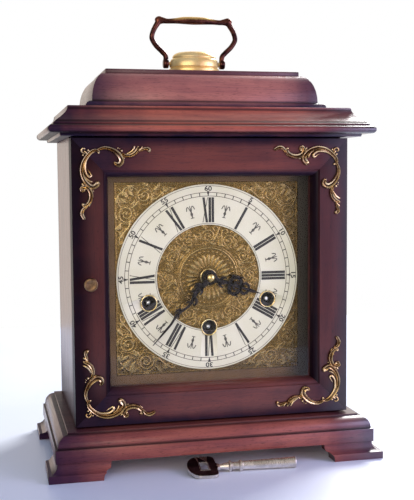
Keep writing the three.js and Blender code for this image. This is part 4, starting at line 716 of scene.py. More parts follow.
MOUNT_STROKES = (
    ("double", [(12.7, 3.9, .5), (12.5, 2.5, .9), (11.1, 1.6, .9), (9.1, 1.6, .9), (6.6, 2.9, .95),
                (3.5, 6.3, 1.05), (1, 10.3, 1.2), (0, 13.7, 1.3), (-.4, 17.3, 1.3), (.3, 21.1, 1.3),
                (2, 24.8, 1.35), (4.8, 27.8, 1.5), (7.6, 29.3, 1.6), (9.8, 28.5, 1.65), (11.4, 26.7, 1.7),
                (10.9, 25.3, 1)]),
    ("double", [(11.1, 1.9, .5), (13.5, .7, .9), (16.8, -.2, 1.1), (20, .1, 1.2), (23.3, 1.3, 1.4),
                (26.1, 3.1, 1.6), (28.5, 5.7, 1.8), (29.9, 8.6, 1.9), (29.4, 11, 1.8), (27.6, 12.4, 1.6),
                (25.5, 11.6, 1.2), (24.7, 10.4, .6)]),
    ("round", [(10.3, 2.1, .45), (7, 4.1, .65), (4.3, 7.3, .75), (2.6, 10.9, .8), (2.2, 14.5, .85),
               (2.5, 17.7, .85), (3.9, 20.2, .9), (5.7, 21.4, .95), (6.9, 20.4, .7), (5.7, 18.2, .4),
               (4.4, 16.1, .25)]),
    ("round", [(1.7, 20.5, .35), (3.4, 23.2, .55), (5.8, 24.8, .65), (7.6, 25.4, .5)]),
    ("double", [(30.4, 4.1, .7), (33, 5.6, 1), (36.7, 5.7, 1.2), (40, 4.1, 1.3), (42.1, 1.7, 1.25),
                (43.2, -1.4, .6)]),
    ("round", [(34.2, 4.5, .45), (37.6, 2.5, .7), (39.2, .7, .75), (40.2, -1.4, .5)]),
    ("round", [(42.7, 1.9, .5), (44.8, .7, .7), (46.2, -1.2, .55)]),
    ("double", [(42.9, 2.1, .5), (45.8, 1.2, .8), (48.3, .4, 1.05), (50.4, .4, 1.25), (51.4, 1.9, 1.2),
                (51, 3.1, .5)]),
    ("round", [(29.9, 5.7, .5), (31.1, 6.9, .75), (32.1, 8.2, .7)]),
    ("double", [(1.5, 31.6, 1), (-.3, 32.2, .8), (-1.1, 30.4, .9), (.3, 29.2, .9), (2.5, 29.1, 1.1),
                (4.7, 30.7, 1.45), (6.1, 33.5, 1.6), (6.4, 36.7, 1.55), (5.6, 40, 1.4), (3.7, 42.4, 1.2),
                (1.7, 43.5, 1.1), (.1, 42.3, 1)]),
    ("double", [(4.9, 41.6, .5), (2.5, 44.6, .8), (.4, 46.2, 1.1), (-.6, 48.8, 1.3), (-.2, 51, 1.15),
                (.9, 52.9, 1), (1.5, 53.9, .35)]),
    ("round", [(7.1, 33.5, .35), (7.5, 37.2, .55), (6.6, 40.8, .55), (4.7, 43.8, .45)]),
    ("round", [(1.9, 28.2, .45), (.3, 27.3, .65), (-.2, 26.4, .45)]),
    ("round", [(2.8, 4.1, .45), (.6, 3.3, .55), (-.4, 1.9, .6), (.2, .5, .6), (1.6, 0, .6), (2.6, .7, .45)]),
    ("round", [(5, 5.4, .5), (3.2, 3.2, .7), (2.2, 2.3, .6)]),
)
MOUNT_BALLS = (
    (1.6, 31.3, 1.2), (4.8, 1.6, 1.05), (.9, 5.2, 1.0), (30.2, 1.9, 1.15), (27.4, -.1, .65), (28.9, .4, .55),
    (8.1, 32.4, .75), (.3, 42.4, 1.2), (11.4, 26.3, 1.75), (12.7, 3.4, .95), (51.2, 1.9, 1.2), (2.2, 2.3, .7),
    (25.2, 10.9, 1.0), (46.2, -1.0, .7), (40.2, -1.2, .65), (43.2, -1.2, .7),
)
mount_brass = metal(
    "brass_mount_antique", "#ad8954", "#35221b", "#fae0b0", 0.25, 9.0, (0.2, 0.64), 0.02)
MOUNT_RISE = 2.5
MOUNT_IN = 8
MOUNT_HIGH, MOUNT_LOW = 249.8, 43.7
CORNERS = (("top_left", -1, MOUNT_HIGH), ("top_right", 1, MOUNT_HIGH), ("bottom_right", 1, MOUNT_LOW),
           ("bottom_left", -1, MOUNT_LOW))
casting = [cast_stroke(stations, kind, MOUNT_RISE) for kind, stations in MOUNT_STROKES]
casting += [cast_ball(*ball) for ball in MOUNT_BALLS]
mount_verts, mount_faces = gather([(verts, faces) for verts, faces, _ in casting])
mount_relief = [height for _, _, relief in casting for height in relief]
for quarter, (place, side, corner_z) in enumerate(CORNERS):
    placed = []
    for u, y, v in mount_verts:
        x, z = u, -v
        for _ in range(quarter):
            x, z = z, -x
        placed.append((side * (CASE_HALF - MOUNT_IN) + x, y, corner_z + z))
    solid("mount_" + place, placed, mount_faces, [mount_brass], "front_door", "antique_brass",
          ["corner_mount_" + place], 60, relief=mount_relief)


# ---------------------------------------------------------------------------------------- hinges and catch
# Two brass butt hinges let into the right edge of the door and the right side, with three countersunk
# screws to a leaf, and a steel ball catch in a brass cup on the left.
hinge_brass = metal("brass_hinge_polished", "#c9a45a", "#7c5a2a", "#ecd08e", 0.26, 5.0)
for place in ("lower", "upper"):
    for leaf in ("case", "door"):
        finer(f"{place}_hinge_{leaf}_leaf", [hinge_brass], 0.2)
bright_steel = metal("steel_bright", "#a3a4a8", "#5c5a5c", "#d8d9dc", 0.25, 4.0)
finer("ball_catch", [bright_steel], 0.12)


def screw_head(back):
    """One countersunk screw head of radius 1, its slot across, its face looking along -y, or +y if back."""
    work = bmesh.new()
    bmesh.ops.create_circle(work, cap_ends=True, radius=1.0, segments=20)
    bmesh.ops.inset_individual(work, faces=work.faces[:], thickness=0.12, depth=0.22)
    for edge in (0.14, -0.14):
        bmesh.ops.bisect_plane(work, geom=work.verts[:] + work.edges[:] + work.faces[:],
                               plane_co=(0, edge, 0), plane_no=(0, 1, 0))
    work.normal_update()
    slot = [f for f in work.faces if abs(f.calc_center_median().y) < 0.1 and f.normal.z > 0.9]
    bmesh.ops.inset_region(work, faces=slot, thickness=0.02, depth=-0.3, use_even_offset=True)
    facing = Matrix.Rotation(math.pi if back else 0, 3, "Z") @ Matrix.Rotation(math.pi / 2, 3, "X")
    bmesh.ops.rotate(work, verts=work.verts, cent=(0, 0, 0), matrix=facing)
    mesh = bpy.data.meshes.new("screw_head")
    close(work, mesh, (), 30)
    return bpy.data.objects.new("screw_head_pattern", mesh)


def repeat_tree(name, kinds):
    """A Geometry Nodes tree with a geometry and kinds = {label: socket kind} as its inputs: the tree, the
    sockets inside it, and the identifier of each input by its label."""
    tree = bpy.data.node_groups.new(name, "GeometryNodeTree")
    face = tree.interface
    face.new_socket("Geometry", in_out="INPUT", socket_type="NodeSocketGeometry")
    names = {label: face.new_socket(label, in_out="INPUT", socket_type="NodeSocket" + kind).identifier
             for label, kind in kinds.items()}
    face.new_socket("Geometry", in_out="OUTPUT", socket_type="NodeSocketGeometry")
    return tree, add(tree, "NodeGroupInput").outputs, names


def plain(holder):
    """The holder with what its modifier makes as its own mesh."""
    bpy.context.view_layer.update()
    graph = bpy.context.evaluated_depsgraph_get()
    mesh = bpy.data.meshes.new_from_object(holder.evaluated_get(graph), depsgraph=graph)
    holder.modifiers.clear()
    holder.data = mesh


def repeated(holder, tree, given, names, copies, values):
    """Realizes the copies in the values' material, as the holder's own plain mesh, and takes their
    pattern out of the scene."""
    joined = add(tree, "GeometryNodeRealizeInstances", {"Geometry": copies})
    painted = add(tree, "GeometryNodeSetMaterial", {"Geometry": joined, "Material": given["Material"]})
    add(tree, "NodeGroupOutput", {"Geometry": painted})
    for obj in (holder, values["Pattern"]):
        bpy.context.scene.collection.objects.link(obj)
    modifier = holder.modifiers.new("repeat", "NODES")
    modifier.node_group = tree
    for label, value in values.items():
        modifier[names[label]] = value
    plain(holder)
    if not holder.data.materials:
        holder.data.materials.append(values["Material"])
    bpy.data.objects.remove(values["Pattern"])
    return holder


def screws(name, places, body, material, size, seed, back=False):
    """Slotted screw heads on (x, y, z) places, in a face that looks along -y, or +y if back. Geometry
    Nodes puts one on each place, its slot turned by a seeded angle."""
    points = bpy.data.meshes.new(name + "_places")
    points.from_pydata([(x * MM, y * MM + FRONT, z * MM) for x, y, z in places], [], [])
    kinds = {"Pattern": "Object", "Size": "Float", "Turn": "Float", "Seed": "Int", "Material": "Material"}
    tree, given, names = repeat_tree(name + "_repeat", kinds)
    shape = add(tree, "GeometryNodeObjectInfo", {"Object": given["Pattern"]}).outputs["Geometry"]
    low = add(tree, "Math", (given["Turn"], -1.0), operation="MULTIPLY")
    angle = add(tree, "FunctionNodeRandomValue", {2: low, 3: given["Turn"], "Seed": given["Seed"]},
                data_type="FLOAT").outputs[1]
    copies = add(tree, "GeometryNodeInstanceOnPoints", {
        "Points": given["Geometry"], "Instance": shape, "Rotation": add(tree, "CombineXYZ", {"Y": angle}),
        "Scale": given["Size"]})
    holder = repeated(bpy.data.objects.new(name, points), tree, given, names, copies, {
        "Pattern": screw_head(back), "Size": size * MM, "Turn": 0.9, "Seed": seed, "Material": material})
    return settle(holder, body)


LEAF_X = 105.2
leaf_heights = [middle + step for middle in (80.7, 212.8) for step in (-10, 0, 10)]
screws("hinge_screws_case", [(LEAF_X, 15.38, z) for z in leaf_heights], "case", hinge_brass, 1.7, 5)
screws("hinge_screws_door", [(LEAF_X, 15.02, z) for z in leaf_heights], "front_door", hinge_brass, 1.7, 8,
       True)


# --------------------------------------------------------------------------------------------- dial plate
# A square sheet of brass, embossed in the press and lacquered: rococo scrolls with spiral rosettes and a
# stippled ground in the corners, and round the centre a ring of foliage, two raised rings, a ring of beads
# and a sunburst. The ground holds brown lacquer, the tops are bright.
DIAL_Z = 146.8
DIAL_Y = 22.0
CELL = 0.32
EMBOSS, EMBOSS_TALL = 76.0, 77.2
grid_x = np.arange(-EMBOSS, EMBOSS + CELL / 2, CELL)
grid_z = np.arange(-EMBOSS_TALL, EMBOSS_TALL + CELL / 2, CELL)
height = np.zeros((len(grid_z), len(grid_x)))
flat_x, flat_z = np.meshgrid(grid_x, grid_z)
radial = np.hypot(flat_x, flat_z)
angle = np.arctan2(flat_x, flat_z)


def press(points, widths, top):
    """Raises a rounded ridge along points, where it stands above what is there."""
    for (x, z), width in zip(points, widths):
        i0, i1 = np.searchsorted(grid_z, (z - width, z + width))
        j0, j1 = np.searchsorted(grid_x, (x - width, x + width))
        if i0 >= i1 or j0 >= j1:
            continue
        away = ((flat_x[i0:i1, j0:j1] - x) ** 2 + (flat_z[i0:i1, j0:j1] - z) ** 2) / width ** 2
        dome = top * np.sqrt(np.clip(1 - away, 0, 1))
        height[i0:i1, j0:j1] = np.maximum(height[i0:i1, j0:j1], dome)


def curl(cx, cz, start, turns, outer, inner, hand):
    """A spiral that winds in to its eye. start is the angle of its outer end in degrees."""
    steps = np.linspace(0, 1, int(26 * turns) + 8)
    radius = inner + (outer - inner) * (1 - steps) ** 0.85
    turn = math.radians(start) + hand * steps * turns * 2 * math.pi
    return np.stack([cx + radius * np.cos(turn), cz + radius * np.sin(turn)], 1)


def leaf(x, z, direction, length, bend, lobes=3, width=0.8):
    """An acanthus leaf: a bent rib with a pair of lobes at each step, as (points, widths) members."""
    members = []
    steps = np.linspace(0, 1, 14)
    heading = math.radians(direction) + math.radians(bend) * steps
    rib = np.stack([x + np.cumsum(np.cos(heading)) * length / 14,
                    z + np.cumsum(np.sin(heading)) * length / 14], 1)
    members.append((rib, width * (1.1 - 0.8 * steps)))
    for lobe in range(lobes):
        at = int(2 + lobe * 10 / lobes)
        for hand in (-1, 1):
            turn = heading[at] + hand * 0.9
            reach = length * 0.34 * (1 - 0.22 * lobe)
            s = np.linspace(0, 1, 7)
            side = turn - hand * 0.8 * s
            members.append((
                rib[at] + np.stack([np.cumsum(np.cos(side)), np.cumsum(np.sin(side))], 1) * reach / 7,
                width * (0.75 - 0.45 * s)))
    return members


def tapered(line, start, end):
    """A line with widths that run from start to end along it."""
    return line, np.linspace(start, end, len(line))


def corner_ornament():
    """One spandrel's scrollwork, drawn for the top right corner and even about its diagonal."""
    half = [
        tapered(curl(52, 66.5, -150, 1.75, 6.6, 0.9, -1), 0.95, 0.55),
        tapered(curl(52, 66.5, 40, 1.0, 8.6, 6.4, 1), 0.6, 0.6),
        (np.array([(52, 66.5)]), [1.1]),
        tapered(spline([(46.3, 63.5), (42.0, 64.4), (38.4, 67.6), (34.2, 71.0), (30.6, 72.6), (28.6, 71.4),
                        (29.2, 69.6), (31.0, 70.0)], 9), 0.9, 0.5),
        tapered(spline([(57.5, 71.0), (61.0, 73.0), (65.0, 73.4), (68.0, 71.6), (68.6, 68.8),
                        (66.6, 67.6)], 9), 0.6, 0.9),
        tapered(spline([(57.0, 62.0), (59.5, 58.5), (61.0, 60.5), (59.4, 62.8)], 7), 0.9, 0.5),
    ]
    for blade in ((45.0, 70.5, 155, 8.5, -40, 3, 0.8), (47.5, 73.5, 25, 7.5, 20, 2, 0.7),
                  (38.5, 72.5, 200, 7.0, 30, 2, 0.65), (60.5, 66.0, 45, 7.0, 15, 3, 0.75),
                  (60.0, 74.5, -15, 5.0, 30, 2, 0.6)):
        half += leaf(*blade)
    whole = half + [(points[:, ::-1], widths) for points, widths in half]
    for blade in ((71.8, 71.8, 225, 11.0, 0, 4, 0.95), (73.2, 66.0, 235, 6.5, 25, 2, 0.6),
                  (66.0, 73.2, 215, 6.5, -25, 2, 0.6)):
        whole += leaf(*blade)
    return whole


def ring_ornament(hand):
    """One of the twelve units of foliage round the centre, drawn above it. hand is 1 or -1."""
    members = [
        tapered(curl(0, 33.2, 90 - hand * 60, 1.6, 5.2, 0.7, hand), 0.8, 0.5),
        (np.array([(0, 33.2)]), [0.9]),
        tapered(spline([(-hand * 4.4, 30.0), (-hand * 6.8, 34.0), (-hand * 8.4, 38.2), (-hand * 6.2, 40.6),
                        (-hand * 4.2, 39.2), (-hand * 5.0, 37.4)], 8), 0.75, 0.45),
    ]
    for blade in ((hand * 1.5, 38.6, 90 - hand * 50, 6.0, hand * 30, 2, 0.65),
                  (-hand * 1.0, 27.8, 180 if hand > 0 else 0, 5.0, hand * 30, 2, 0.55),
                  (hand * 6.6, 30.6, 90 + hand * 10, 5.5, -hand * 35, 2, 0.6)):
        members += leaf(*blade)
    return members


THINNEST = 0.4
for sign_x in (-1, 1):
    for sign_z in (-1, 1):
        for points, widths in corner_ornament():
            widths = [max(w * 0.8, THINNEST) for w in widths]
            press([(x * sign_x, z * sign_z) for x, z in points], widths, 0.5)
for unit in range(12):
    turn = unit * math.pi / 6
    for points, widths in ring_ornament(1 if unit % 2 else -1):
        x = points[:, 0] * math.cos(turn) + points[:, 1] * math.sin(turn)
        z = -points[:, 0] * math.sin(turn) + points[:, 1] * math.cos(turn)
        press(np.stack([x, z], 1), [max(w * 0.76, THINNEST) for w in widths], 0.46)
INSIDE_RIM = 74.4
dice = np.random.default_rng(11)
for x, z in dice.uniform(-EMBOSS, EMBOSS, (3800, 2)):
    away = math.hypot(x, z)
    if not ((away > 75.5 or 26.5 < away < 42.5) and max(abs(x), abs(z)) < INSIDE_RIM):
        continue
    if dice.random() < 0.62:
        press([(x, z)], [dice.uniform(0.5, 0.75)], 0.2)
        continue
    start = dice.uniform(0, 2 * math.pi)
    size = dice.uniform(0.8, 1.7)
    sweep = start + np.linspace(0, dice.uniform(1.8, 4.2), 16) * dice.choice((-1, 1))
    blade = np.stack([x + size * np.cos(sweep), z + size * np.sin(sweep)], 1)
    if np.abs(blade).max() < INSIDE_RIM:
        press(blade, np.linspace(0.58, 0.38, 16), 0.38)
rays = np.abs(np.cos(angle * 13 + 0.5 * np.sin(angle * 3))) ** 0.8
reach = 17.6 + 1.2 * np.cos(angle * 26)
burst = np.clip((radial - 7.8) / 1.6, 0, 1) * np.clip((reach - radial) / 1.0, 0, 1)
height = np.maximum(height, burst * (0.03 + 0.42 * rays * np.clip(radial / 15, 0, 1)))
for centre, width, top in ((23.7, 0.6, 0.42), (25.3, 0.5, 0.34)):
    height = np.maximum(height, top * np.sqrt(np.clip(1 - ((radial - centre) / width) ** 2, 0, 1)))
for bead in range(36):
    turn = bead * math.pi / 18
    press([(20.9 * math.sin(turn), 20.9 * math.cos(turn))], [0.85], 0.42)
rim = np.minimum(EMBOSS - np.abs(flat_x), EMBOSS_TALL - np.abs(flat_z))
height = np.maximum(height, 0.3 * np.sqrt(np.clip(1 - ((rim - 0.9) / 0.75) ** 2, 0, 1)))
edge = (rim < CELL * 0.6) | (radial < 6.9)
proud = np.where(edge, -0.12, height + 0.03)


def dial_skin(keep):
    """The part of the height field where keep is set: verts, faces and the relief of each vertex."""
    rows, columns = height.shape
    index = -np.ones(height.shape, int)
    cell = keep[:-1, :-1] & keep[1:, :-1] & keep[:-1, 1:] & keep[1:, 1:]
    used = np.zeros(height.shape, bool)
    for di in (0, 1):
        for dj in (0, 1):
            used[di:rows - 1 + di, dj:columns - 1 + dj] |= cell
    index[used] = np.arange(used.sum())
    verts = np.stack([flat_x[used], DIAL_Y - proud[used], DIAL_Z + flat_z[used]], 1)
    ii, jj = np.nonzero(cell)
    faces = np.stack([index[ii, jj], index[ii, jj + 1], index[ii + 1, jj + 1], index[ii + 1, jj]], 1)
    return verts.tolist(), faces.tolist(), np.clip(height[used] / 0.5, 0, 1)


def dial_brass():
    """Lacquered sheet brass. The eye gets brown in the pressed ground, pale gold on the ridges and a
    slow change of colour over the plate where the lacquer has aged. Painted shade of the door frame
    darkens it to the right, and painted shade darkens it towards the bottom."""
    material, tree = new_material("brass_dial_embossed")
    relief = add(tree, "Attribute", attribute_name="relief").outputs["Fac"]
    aged = streaks(tree, 48, 2.0, 9.1)
    fine = streaks(tree, 0.8, 3.0, 2.7)
    across, _, up = where(tree)
    colour = layer(tree, "#6f5834", "#7f653c", relief, 0.0, 0.55)
    colour = layer(tree, colour, "#c6ae80", relief, 0.55, 1.0, 0.0, 0.7)
    colour = layer(tree, colour, "#6f5834", aged, 0.35, 0.7, 0.0, 0.3)
    # painted shadow of the door frame over the right of the plate, and painted shade towards its bottom
    colour = layer(tree, colour, "#2a1f14", across, 0.048, 0.08, 0.0, 0.7)
    colour = layer(tree, colour, "#3a2c1c", up, 0.07, 0.11, 0.35, 0.0)
    gloss = add(tree, "MapRange", (fine, 0.3, 0.7, 0.19, 0.34), **EASED)
    return finish(material, {"Base Color": colour, "Roughness": gloss, "Metallic": 1.0}, fine, 0.3, 0.02)


embossed = dial_brass()
# the plate's margin: dark brown brass whose darkness is partly painted shade of the door frame, with a
# painted shadow darkening its right part further
carry("dial_plate", metal("brass_dial_margin_satin", "#573e22", "#46301a", "#654929", 0.55, 20.0, pits=0.005,
                          metallic=0.25, stain=(0.06, 0.08)))
free = np.hypot(flat_x, flat_z + 40.8) > 6.3
for name, keep in (("dial_embossing_centre", (radial < 43.0) & (radial > 6.4) & free),
                   ("dial_embossing_corners", radial > 74.5)):
    verts, faces, relief = dial_skin(keep)
    solid(name, verts, faces, [embossed], "case", "embossed_brass", (), 180, relief=relief)


# -------------------------------------------------------------------------------------------- chapter ring
# A flat ring printed on cream enamel: Roman hours, half-hour marks, a minute track with its divisions and
# the minutes in Arabic numbers, all standing the thickness of the ink above the face.
RING_Y = 21.0


def enamel():
    """Cream enamel with a silk gloss. The eye gets a slight warm cloud and a fine orange-peel surface."""
    material, tree = new_material("enamel_chapter_cream")
    cloud = streaks(tree, 30, 2.0, 4.4)
    speck = streaks(tree, 0.7, 2.0, 1.4)
    colour = layer(tree, "#cac8ba", "#c4c1af", cloud, 0.3, 0.7)
    colour = layer(tree, colour, "#b6b19e", speck, 0.66, 0.8, 0.0, 0.3)
    gloss = add(tree, "MapRange", (speck, 0.3, 0.7, 0.38, 0.5), **EASED)
    return finish(material, {"Base Color": colour, "Roughness": gloss}, speck, 0.2, 0.02)


def ink(name, code):
    """Printing ink, matt and very slightly uneven in its black."""
    material, tree = new_material(name)
    uneven = streaks(tree, 1.6, 2.0, 3.3)
    pale = tuple(min(1.0, c * 1.6 + 0.01) for c in srgb(code)[:3]) + (1,)
    gloss = add(tree, "MapRange", (uneven, 0.3, 0.7, 0.45, 0.6), **EASED)
    return finish(material, {"Base Color": layer(tree, code, pale, uneven, 0.4, 0.75), "Roughness": gloss})


WINDING = {"left": (-49.2, -19.5), "centre": (0.0, -40.8), "right": (49.2, -19.5)}
SIDES = 180


def hoop(section):
    """A ring round the dial from its closed section of (radius, y): verts, faces."""
    turns = np.linspace(0, 2 * math.pi, SIDES, endpoint=False)
    verts = [(r * math.sin(t), y, DIAL_Z + r * math.cos(t)) for r, y in section for t in turns]
    return verts, strips(SIDES, len(section), True)


section = [(42.5, 22.0), (42.5, 21.15), (42.65, 21.0), (74.85, 21.0), (75.0, 21.15), (75.0, 22.0)]
ring = solid("chapter_ring_enamel", *hoop(section), [enamel()], "case", "ivory_enamel", ["chapter_ring"], 30)
drill = solid("drill", *gather([lathe([(6.1, 19.0), (6.1, 24.0)], "y", (x, 0, DIAL_Z + z), 48)
                                for x, z in WINDING.values()]), [], "case", "ivory_enamel")
holes = ring.modifiers.new("holes", "BOOLEAN")
holes.object = drill
holes.solver = "EXACT"
plain(ring)
bpy.data.objects.remove(drill)
INK_Y = RING_Y - 0.07
INK_FOOT = RING_Y + 0.05


def printed(outline):
    """A flat inked shape from its (x, z) outline about the dial's centre: verts, faces."""
    return prism([[(x, y, DIAL_Z + z) for x, z in outline] for y in (INK_Y, INK_FOOT)])


def at_hour(points, turn):
    """(across, out) points of a glyph whose foot looks to the centre, turned clockwise to its place."""
    out = (math.sin(turn), math.cos(turn))
    right = (math.cos(turn), -math.sin(turn))
    return [(s * right[0] + r * out[0], s * right[1] + r * out[1]) for s, r in points]


def bar(foot, head, width):
    """One stroke of a Roman hour from its middles at the foot and the head."""
    low, high = 44.3, 64.4
    return [(foot - width / 2, low), (foot + width / 2, low), (head + width / 2, high),
            (head - width / 2, high)]


def numeral(text):
    """The bars of a Roman hour, centred: upright bars, and a thick and a thin stroke in V and X."""
    wide = {"I": 2.5, "V": 4.9, "X": 5.0}
    place = -sum(wide[c] for c in text) / 2
    shapes = []
    for letter in text:
        middle = place + wide[letter] / 2
        if letter == "I":
            shapes += [bar(middle, middle, 2.12)]
        elif letter == "V":
            shapes += [bar(middle - 0.1, middle - 1.4, 2.0), bar(middle + 0.45, middle + 2.0, 0.5)]
        else:
            shapes += [bar(middle + 1.3, middle - 1.4, 2.0), bar(middle - 2.0, middle + 2.0, 0.5)]
        place += wide[letter]
    return shapes


def ribbon(points, halves):
    """A stroke of changing width as an outline, with a half width for each point."""
    line = spline([(x, z, h) for (x, z), h in zip(points, halves)], 5)
    run = np.gradient(line[:, :2], axis=0)
    run /= np.maximum(np.linalg.norm(run, axis=1, keepdims=True), 1e-9)
    side = np.stack([-run[:, 1], run[:, 0]], 1) * line[:, 2:3]
    return [tuple(p) for p in line[:, :2] + side] + [tuple(p) for p in (line[:, :2] - side)[::-1]]


def half_hour_mark():
    shapes = [
        [(-0.42, 49.6), (0.42, 49.6), (0.5, 51.2), (1.2, 52.6), (0.6, 54.2), (0.45, 57.0), (0.22, 59.8),
         (-0.22, 59.8), (-0.45, 57.0), (-0.6, 54.2), (-1.2, 52.6), (-0.5, 51.2)],
        [(-1.7, 49.3), (1.7, 49.3), (1.3, 49.9), (-1.3, 49.9)],
    ]
    for hand in (-1, 1):
        arm = [(0.4, 54.9), (0.95, 56.8), (1.5, 58.6), (2.3, 58.9), (3.0, 57.6), (3.3, 56.3), (3.9, 56.0)]
        shapes.append(ribbon([(hand * s, r) for s, r in arm], [0.2, 0.3, 0.32, 0.36, 0.42, 0.34, 0.16]))
    return shapes


def lettering(text):
    """Numbers in the built-in face as a flat solid: vertices (across, up, deep) and faces."""
    curve = bpy.data.curves.new("number", "FONT")
    curve.body = text
    curve.size = 5.2
    curve.align_x = "CENTER"
    curve.align_y = "CENTER"
    curve.extrude = 0.05
    curve.offset = 0.13
    curve.resolution_u = 3
    holder = bpy.data.objects.new("number", curve)
    bpy.context.scene.collection.objects.link(holder)
    bpy.context.view_layer.update()
    mesh = bpy.data.meshes.new_from_object(holder)
    verts = [tuple(v.co) for v in mesh.vertices]
    faces = [tuple(f.vertices) for f in mesh.polygons]
    bpy.data.objects.remove(holder)
    return verts, faces


HOURS = ("XII", "I", "II", "III", "IIII", "V", "VI", "VII", "VIII", "IX", "X", "XI")
print_parts, mark_parts = [], []
for hour, text in enumerate(HOURS):
    turn = hour * math.pi / 6
    print_parts += [printed(at_hour(shape, turn)) for shape in numeral(text)]
    verts, faces = lettering(str(hour * 5 or 60))
    spread = at_hour([(x * 1.2, 71.3 + y) for x, y, _ in verts], turn)
    print_parts.append((
        [(x, INK_Y + 0.05 - deep, DIAL_Z + z) for (x, z), (_, _, deep) in zip(spread, verts)], faces))
    mark_parts += [printed(at_hour(shape, (hour + 0.5) * math.pi / 6)) for shape in half_hour_mark()]
black_ink = ink("ink_black", "#121016")
track_ink = ink("ink_track_brown_grey", "#4a4340")
solid("numerals_print", *gather(print_parts), [black_ink], "case", "blackened_steel", (), 20)
solid("half_hour_marks_print", *gather(mark_parts), [ink("ink_grey", "#3c3a38")], "case",
      "blackened_steel", (), 20)
lines = []
for radius, width in ((65.5, 0.5), (68.4, 0.5), (73.7, 0.4), (43.5, 0.4)):
    low, high = radius - width / 2, radius + width / 2
    lines.append(hoop([(low, INK_Y), (high, INK_Y), (high, INK_FOOT), (low, INK_FOOT)]))
solid("minute_track_lines", *gather(lines), [track_ink], "case", "blackened_steel", (), 20)


def ring_of(outline, count, name, material):
    """Geometry Nodes sets a flat inked outline (across, out) count times round the dial."""
    verts, faces = printed(outline)
    mesh = bpy.data.meshes.new(name + "_pattern")
    mesh.from_pydata([(x * MM, y * MM + FRONT, (z - DIAL_Z) * MM) for x, y, z in verts], [], faces)
    kinds = {"Pattern": "Object", "Count": "Int", "Height": "Float", "Material": "Material"}
    tree, given, names = repeat_tree(name + "_round", kinds)
    shape = add(tree, "GeometryNodeObjectInfo", {"Object": given["Pattern"]}).outputs["Geometry"]
    line = add(tree, "GeometryNodeMeshLine", {
        "Count": given["Count"], "Start Location": add(tree, "CombineXYZ", {"Z": given["Height"]}),
        "Offset": (0.0, 0.0, 0.0)})
    share = add(tree, "Math", (add(tree, "GeometryNodeInputIndex"), given["Count"]), operation="DIVIDE")
    turn = add(tree, "Math", (share, 2 * math.pi), operation="MULTIPLY")
    copies = add(tree, "GeometryNodeInstanceOnPoints", {
        "Points": line, "Instance": shape, "Rotation": add(tree, "CombineXYZ", {"Y": turn})})
    holder = repeated(bpy.data.objects.new(name, bpy.data.meshes.new(name)), tree, given, names, copies, {
        "Pattern": bpy.data.objects.new(name + "_pattern", mesh), "Count": count, "Height": DIAL_Z * MM,
        "Material": material})
    return settle(holder, "case")


ring_of([(-0.33, 65.5), (0.33, 65.5), (0.33, 68.4), (-0.33, 68.4)], 60, "minute_divisions", black_ink)
ring_of([(-1.2, 69.3), (1.2, 69.3), (0.95, 68.4), (0.3, 66.0), (-0.3, 66.0), (-0.95, 68.4)], 12,
        "five_minute_points", black_ink)


# ------------------------------------------------------------------------------------------------- bushes
# Turned brass bushes line the three winding holes in the ring and the centre hole: a rounded lip with a
# bright edge. Behind each winding bush lies a black lining cup that is also painted shade, so the hole
# falls away dark to the squared steel arbor.
bush_brass = metal("brass_bush_polished", "#cdb27b", "#7c6035", "#f6e8c0", 0.2, 3.0)
lining_black_and_shade = ink("bush_lining_black", "#0c090b")


def sleeve(profile, x, z, sides):
    """A turned ring about (x, z) of the dial from its closed section of (radius, y): verts, faces."""
    turns = np.linspace(0, 2 * math.pi, sides, endpoint=False)
    rings = [[(r * math.cos(t) + x, y, DIAL_Z + z + r * math.sin(t)) for t in turns] for r, y in profile]
    return skin(rings + rings[:1], False)


def bush(place, node, x, z, face_y):
    """A bush with its lip on the face at face_y."""
    lip = arc(6.35, face_y, 0.68, 0.8, 0, -180, 10)
    inside = 5.67
    profile = [(5.8, face_y + 0.02), (5.8, DIAL_Y + 1.5), (inside, DIAL_Y + 1.5), (inside, face_y)]
    solid("bush_" + place, *sleeve(profile + lip[::-1], x, z, 48), [bush_brass], "case", "polished_brass",
          [node], 50)


for place, (x, z) in WINDING.items():
    bush(place, "winding_bush_" + place, x, z, RING_Y)
    # the black cup is a lining and also painted shade deep in the winding hole
    cup = [(5.66, RING_Y + 0.25), (5.2, RING_Y + 0.45), (3.4, DIAL_Y + 1.9), (3.1, DIAL_Y + 2.3),
           (3.1, DIAL_Y + 2.6), (5.66, DIAL_Y + 2.6)]
    solid("bush_lining_" + place, *sleeve(cup, x, z, 40), [lining_black_and_shade], "case", "blackened_steel", (), 40)
bush("middle", "centre_bush", 0, 0, DIAL_Y)
arbor_steel = metal("steel_arbor_polished", "#5d5c60", "#2c2b2e", "#8d8d92", 0.24, 3.0)
for name in ("going", "strike", "chime"):
    finer(name + "_winding_arbor", [arbor_steel], 0.25)
tip_steel = metal("steel_arbor_tip_bright", "#d3d4d8", "#8d8d90", "#f4f4f6", 0.3, 3.0)
tip_profile = [(0.05, 23.65), (0.7, 23.7), (1.25, 23.95), (1.5, 24.35), (1.5, 24.6)]
for place, body in (("left", "strike_winding_square"), ("centre", "time_winding_square"),
                    ("right", "chime_winding_square")):
    x, z = WINDING[place]
    solid("arbor_tip_" + place, *lathe(tip_profile, "y", (x, 0, DIAL_Z + z), 24), [tip_steel], body, "steel",
          (), 50)


# -------------------------------------------------------------------------------------------------- hands
# Serpentine hands pressed from steel and blackened: both have a leaf on the stem, the hour hand a broad
# pierced head, the minute hand a winding stem. Their faces are slightly rounded and catch a cool light.
# A domed brass nut holds them.

